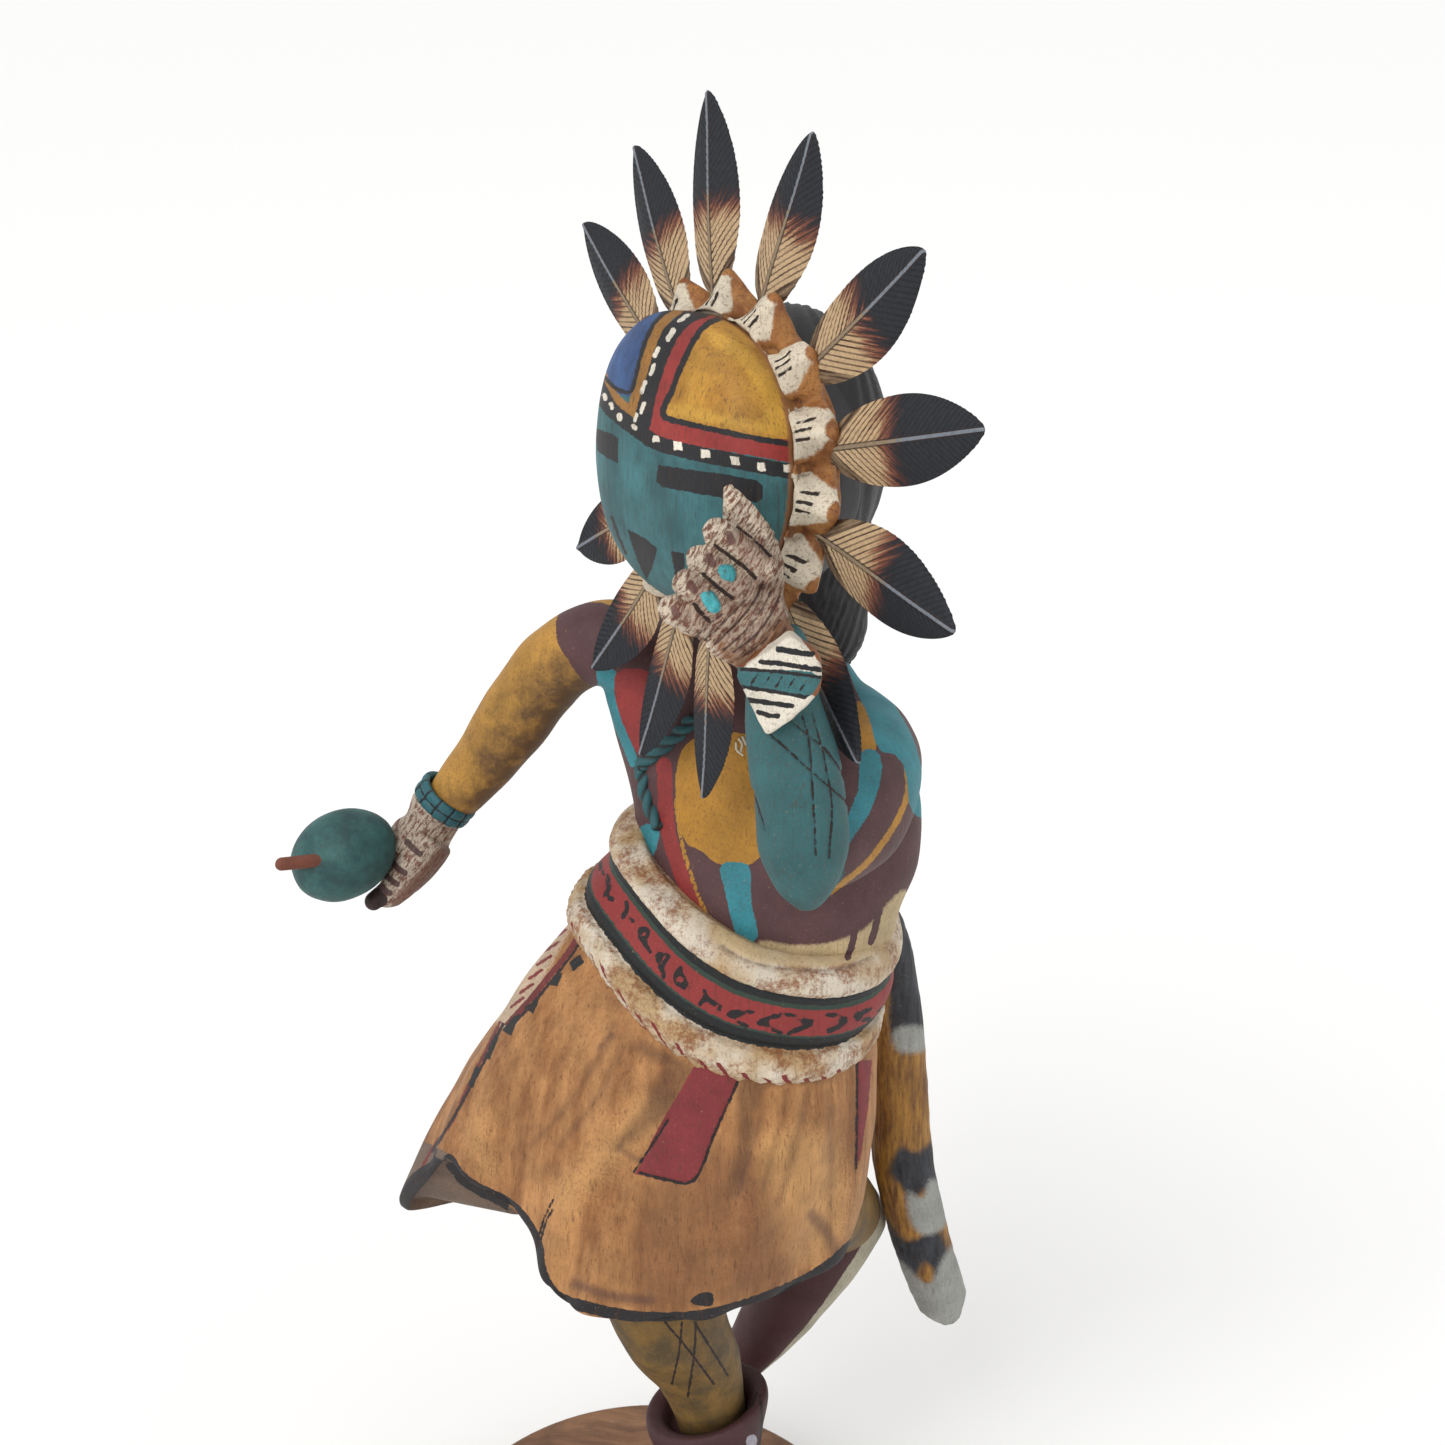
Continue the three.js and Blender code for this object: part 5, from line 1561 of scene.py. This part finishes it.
def make_bow_guard():
    form = bmesh.new()
    outline = [(-3.2, -10), (2, -6.4), (6.8, -1.4), (7.2, 1.6), (6.8, 5.2), (1.2, 9.6), (-9, 2)]
    verts = [form.verts.new((x, y, 0)) for x, y in outline]
    face = form.faces.new(verts)
    thick = bmesh.ops.extrude_face_region(form, geom=[face])
    bmesh.ops.translate(form, vec=(0, 0, 7), verts=[g for g in thick["geom"] if isinstance(g,
        bmesh.types.BMVert)])
    bmesh.ops.recalc_face_normals(form, faces=form.faces)
    bmesh.ops.bevel(
        form, geom=form.edges[:], offset=0.9, offset_type="OFFSET", affect="EDGES", segments=2, profile=0.5,
        material=-1
    )
    place = Matrix.Translation(Vector(above([31, -66.5, 279.4]))) @ Matrix.Rotation(math.pi / 2 - 0.2, 4,
        "X")
    bmesh.ops.transform(form, matrix=place, verts=form.verts)
    form = fuse([form], 0.36, 2)
    whittle(form, 3, 0.25, 1.0)
    layers = [
        ("white_bands", [
            area((779, 634), (790, 628), (806, 645), (818, 660), (822, 676), (742, 670), (758, 655)),
            area((738, 686), (806, 698), (812, 700), (768, 736), (758, 722), (744, 700)),
        ], None),
        ("teal_band", [area((733, 668), (760, 669), (820, 676), (808, 697), (770, 692), (738, 686))], None),
        ("black_lines", [
            line(6, (778, 649), (794, 652), (812, 654)), line(5, (760, 662), (790, 665), (820, 670)),
            line(3.5, (742, 669), (780, 672), (820, 677)), line(4, (738, 686), (770, 691), (810, 698)),
            line(5, (748, 700), (770, 703), (792, 706)), line(5, (758, 712), (768, 715), (778, 716)),
            line(2, (752, 683), (758, 674)), line(2, (764, 685), (770, 676)),
            line(2, (776, 687), (782, 677)),
            line(2, (788, 689), (794, 679)), line(2, (800, 691), (806, 681)),
        ], None),
        ("white_edge", [line(7, (768, 733), (788, 717), (812, 699))], None),
    ]
    # Chalk white and teal bands on raw wood, the guard's edges left bare.
    material = painted_wood(
        "banded_bow_guard", "#8a5230",
        [("white_bands", WHITE), ("teal_band", TEAL), ("black_lines", BLACK), ("white_edge", WHITE)],
        worn=0.14, wear="#8a5230", grimy=0.5, bump=0.3,
    )
    finish_piece("bow_guard", form, material, ["figure"], layers)


def make_rattle():
    middle = FIST + HANDLE_WAY * 17.5 + np.array([1.3, 0, 1.4])
    form = egg(middle, (12.9, 11.2, 10.6), (0.86, 0.2, 0.42))
    bmesh.ops.subdivide_edges(form, edges=form.edges[:], cuts=1, use_grid_fill=True)
    whittle(form, 8, 0.4, 4.0)
    # A dried gourd under smooth blue-green paint, soft sheen.
    material = painted_wood(
        "painted_gourd", mottled("#234547", "#34605e", 0.14, (1, 1, 1)), (), grain_way=(1, 1, 1),
        roughness=0.6, worn=0.03,
        grimy=0.2, mottle=0.25, bump=0.1,
    )
    finish_piece("gourd", form, material, ["rattle_gourd"])
    stand = about(HANDLE_WAY, FIST)

    def place(u, v):
        z = -4 + v * 24
        ends = np.clip(np.minimum(v, 1 - v) / 0.02, 0, 1)
        radius = 2 * np.sqrt(1 - (1 - ends) ** 2) * (1 + 0.06 * np.sin(z * 0.7))
        turn = 2 * np.pi * u
        local = np.stack([radius * np.cos(turn), radius * np.sin(turn), z], 1)
        return local @ stand[:3, :3].T + stand[:3, 3]

    form = skin(32, 90, place)
    whittle(form, 4, 0.2, 6.0)
    # A whittled stick, stained red brown.
    material = painted_wood("stained_stick", "#6f3d2c", (), grain_way=(0.2, 1, 1), roughness=0.6,
        mottle=0.25, bump=0.25)
    finish_piece("stick", form, material, ["rattle_handle"])
    form = rod(above([-72, 13.6, 198.7]), above([-83, 9.8, 199.3]), 1.6)
    whittle(form, 3, 0.2, 6.0)
    finish_piece("stick_end", form, material, ["rattle_handle"])


# Legs, boot and tail


def make_legs():
    shin = limb([
        [19, 5, 20, 10, 11], [17, 3, 40, 9, 9], [13.5, 0, 60, 11], [7, -5, 80, 14], [4, -4, 100, 17],
        [8, 0, 122, 20],
    ])
    calf = limb([[30, -4, 120, 15], [40, 10, 104, 14], [47, 28, 90, 12.5], [51, 38, 80, 11]])
    form = fuse([shin, calf], 1.0, 2)
    whittle(form, 8, 0.35, 8.0)
    crossings = [
        line(2.4, (665, 1322), (690, 1352), (714, 1384)), line(2.4, (682, 1322), (679, 1352), (672, 1384)),
        line(2.4, (696, 1322), (694, 1355), (688, 1396)), line(2.4, (694, 1322), (712, 1350), (728, 1376)),
    ]
    refine(form, drawn(crossings, lambda spots: spots[:, 1] + 4))
    layers = [("leg_lines", crossings, None)]

    def olive(add, spot):
        """Yellow ochre with worn green-brown patches."""
        patch = add("TexNoise", {"Vector": spot, "Scale": 0.1, "Detail": 5.0,
            "Roughness": 0.7}).outputs["Fac"]
        amount = add("MapRange", {"Value": patch, 1: 0.42, 2: 0.6, 3: 0.0, 4: 1.0}).outputs[0]
        return add(
            "Mix", {FACTOR: amount, FIRST: linear("#75582a"), SECOND: linear("#55452a")}, data_type="RGBA"
        ).outputs[MIXED]

    # Ochre paint rubbed thin on the calf.
    material = painted_wood("rubbed_ochre_leg", olive, [("leg_lines", "#221715")], mottle=0.25)
    finish_piece("legs", form, material, ["figure"], layers)


def cream_sole(spots):
    """The boot's cream sole, a few millimetres up from the base."""
    return spots[:, 2] - (BASE_TOP + 3.1)


def make_boots():
    foot = limb([
        [23, 19, 9, 4, 8], [22, 13, 9.5, 10, 9.3], [18, 0, 11, 10.5, 10.8], [12, -16, 8, 11.5, 7.8],
        [6, -32, 6, 10, 5.8], [3, -40, 4.6, 4, 3.6],
    ])
    shaft = hoops([
        [20, 8, 3, 11.5, 13, 0, 0], [19, 6, 16, 11.2, 12, 0, 0], [17.5, 4, 28, 12, 12, 0.1, 0],
        [16, 2, 38, 14.2, 13.4, 0.22, 0], [15.6, 2, 46, 15.8, 15, 0.28, 0],
        [15.4, 2, 48, 15.2, 14.4, 0.28, 0],
        [15.6, 2, 47, 12, 11.4, 0.28, 0], [16, 2, 41, 9, 9, 0.2, 0],
    ], rows=150)
    sole = bmesh.new()
    bmesh.ops.create_cone(sole, cap_ends=True, segments=72, radius1=1, radius2=1, depth=3.2)
    place = (
        Matrix.Translation(Vector(above([13, -10, 1.8]))) @ Matrix.Rotation(-0.32, 4, "Z")
        @ Matrix.Diagonal((11.8, 31, 1, 1))
    )
    bmesh.ops.transform(sole, matrix=place, verts=sole.verts)
    form = fuse([foot, shaft, sole], 0.75, 2)
    for vert in form.verts:
        vert.co.z = max(vert.co.z, BASE_TOP + 0.15)
    layers = [
        ("sole", [], cream_sole),
        ("boot_marks", [line(2.6, (760, 1395), (762, 1420), (760, 1445)),
            line(2.4, (742, 1412), (752, 1405), (757, 1392))], None),
        ("button", [area((748, 1436), (755, 1435), (757, 1444), (750, 1449), (746, 1443))], None),
    ]
    # Maroon paint like dyed hide, dulled on the cuff.
    material = painted_wood(
        "maroon_painted_boot", "#43272a", [("sole", "#9c8f78"), ("boot_marks", "#181012"),
            ("button", "#aaa6b0")],
        mottle=0.2, wear="#8c5a4a",
    )
    finish_piece("standing_boot", form, material, ["figure"], layers)

    form = limb([
        [56, 46, 84, 6, 4], [54, 42, 78, 9.5, 10], [46, 41, 64, 10, 11], [36, 41, 47, 10.5, 9.5],
        [26, 41, 31, 8.5, 6.5], [21, 41, 25, 3.5, 3],
    ], side=(0, 1, 0), sides=90, rows=120)
    whittle(form, 8, 0.35, 9.0)

    def raised_sole(spots):
        """The sole of the hanging foot faces down and to the doll's left."""
        toe, heel = above([21, 41, 25]), above([56, 46, 84])
        along = unit(heel - toe)
        out = unit(np.array([1, 0, 0]) - along[0] * along)
        middle = toe + ((spots - toe) @ along)[:, None] * along
        return 5.2 - (spots - middle) @ out + 2.0 * np.cos((spots - toe) @ along / 70 * np.pi - 1.6)

    material = painted_wood(
        "maroon_painted_hanging_boot", "#4a2c2e", [("sole_rim", "#aca590")], mottle=0.2, wear="#8c5a4a"
    )
    finish_piece("hanging_boot", form, material, ["figure"], [("sole_rim", [], raised_sole)])


def make_pelt():
    joints = [
        [52, 24, 184, 0.6], [57, 28, 172, 0.95], [61, 32, 152, 1], [64, 34.5, 128, 1],
        [66.3, 35.5, 102, 1.04],
        [70, 37, 82, 1.02], [74, 38, 66, 0.98], [79, 39.5, 51, 0.9], [82, 40, 43, 0.35],
    ]
    form = limb([[x, y, z, 7.6 * girth] for x, y, z, girth in joints], sides=120, rows=180)
    spots = spots_of(form)
    clock = np.arctan2(spots[:, 1] - np.interp(spots[:, 2], [60, 200], [39, 24]), spots[:, 0] - np.interp(
        spots[:, 2], [60, 120, 200], [80, 67, 52]))
    wave = grain(spots, 10, 0.6)
    fur = np.cos(clock * 22 + wave * 5) * 0.2 + grain(spots * np.array([1, 1, 0.25]), 1.2, 0.8)
    sink(form, fur * 0.25 + grain(spots, 12, 0.4))
    layers = [
        ("fur_black", [
            area((890, 905), (915, 925), (925, 980), (926, 1040), (893, 1040), (890, 980)),
            area((900, 1148), (918, 1152), (932, 1142), (938, 1195), (925, 1190), (912, 1200), (900, 1185),
                (890, 1170)),
            area((888, 1222), (905, 1240), (918, 1238), (935, 1228), (950, 1262), (940, 1278), (925, 1262),
                 (912, 1280), (895, 1262)),
        ], None),
        ("fur_white", [
            area((895, 1030), (925, 1028), (926, 1050), (896, 1050)),
            area((908, 1192), (922, 1198), (930, 1180), (945, 1185), (946, 1225), (925, 1235), (912, 1225)),
            area((900, 1262), (915, 1275), (928, 1285), (945, 1255), (960, 1240), (980, 1290), (975, 1335),
                 (935, 1335), (905, 1300)),
        ], None),
    ]

    def tip_white(spots):
        return spots[:, 2] - (BASE_TOP + 62)

    def ochre_fur(add, spot):
        long_way = add("VectorMath", {0: spot, 1: (1, 1, 0.12)}, operation="MULTIPLY").outputs[0]
        hairs = add("TexNoise", {"Vector": long_way, "Scale": 0.5, "Detail": 5.0,
            "Roughness": 0.7}).outputs["Fac"]
        amount = add("MapRange", {"Value": hairs, 1: 0.4, 2: 0.62, 3: 0.0, 4: 1.0}).outputs[0]
        return add(
            "Mix", {FACTOR: amount, FIRST: linear("#a67733"), SECOND: linear("#6b4626")}, data_type="RGBA"
        ).outputs[MIXED]

    layers = [("tip", [], tip_white)] + layers
    # A carved fox tail: ochre fur with feathered black and white patches.
    material = painted_wood(
        "painted_fur_tail", ochre_fur,
        [("tip", "#8f9089", 1.0, 1.0), ("fur_black", mottled("#1c1b20", "#34383f", 0.3), 1.1, 1.0),
            ("fur_white", "#94958f", 1.1, 1.0)],
        mottle=0.2, bump=0.3,
    )
    finish_piece("fox_tail", form, material, ["fox_pelt"], layers)


# Light, floor and camera


def make_stage():
    floor = bmesh.new()
    bmesh.ops.create_grid(floor, x_segments=2, y_segments=2, size=6)
    mesh = bpy.data.meshes.new("floor")
    floor.to_mesh(mesh)
    floor.free()
    plain = bpy.data.objects.new("floor", mesh)
    bpy.context.scene.collection.objects.link(plain)
    # Matt white paper under the doll.
    material = bpy.data.materials.new("matt_white_paper")
    add = maker(material)
    surface = add("BsdfPrincipled", {"Base Color": linear("#f4f3f1"), "Roughness": 0.9,
        "Specular IOR Level": 0.1})
    add("OutputMaterial", {"Surface": surface.outputs[0]})
    mesh.materials.append(material)

    world = bpy.data.worlds.new("studio")
    world.use_nodes = True
    world.node_tree.nodes["Background"].inputs["Color"].default_value = linear("#f6f7f8")
    world.node_tree.nodes["Background"].inputs["Strength"].default_value = 0.84
    bpy.context.scene.world = world
    target = Vector((0.01, -0.01, 0.22))
    # A wide soft key from the upper left, which also keeps the whole floor pale, and two small fills.
    key = bpy.data.lights.new("key", "SUN")
    key.energy = 1.5
    key.angle = math.radians(40)
    fills = []
    for name, size, power in (("fill", 1.2, 1.5), ("top", 1.0, 2.0)):
        light = bpy.data.lights.new(name, "AREA")
        light.size = size
        light.energy = power
        fills.append(light)
    for light, place in ((key, (-0.75, -1.0, 1.3)), (fills[0], (1.1, -0.8, 0.9)),
        (fills[1], (0.1, 0.5, 1.6))):
        lamp = bpy.data.objects.new(light.name, light)
        lamp.location = place
        lamp.rotation_euler = (target - Vector(place)).to_track_quat("-Z", "Y").to_euler()
        bpy.context.scene.collection.objects.link(lamp)

    camera_data = bpy.data.cameras.new("camera")
    camera_data.sensor_width = 36
    camera_data.lens = 36 * FOCAL_PIXELS / PHOTO_SIDE
    camera = bpy.data.objects.new("camera", camera_data)
    camera.location = Vector(CAMERA_PLACE) * MM
    camera.rotation_euler = (math.pi / 2 - CAMERA_DROP, 0, 0)
    bpy.context.scene.collection.objects.link(camera)
    bpy.context.scene.camera = camera
    bpy.context.scene.view_settings.view_transform = "Standard"


make_stage()
make_base()
make_body()
make_kilt()
make_belt()
make_mask()
make_ruff()
make_hair()
make_feathers()
make_mask_hand()
make_rattle_hand()
make_bracelet()
make_bow_guard()
make_rattle()
make_legs()
make_boots()
make_pelt()
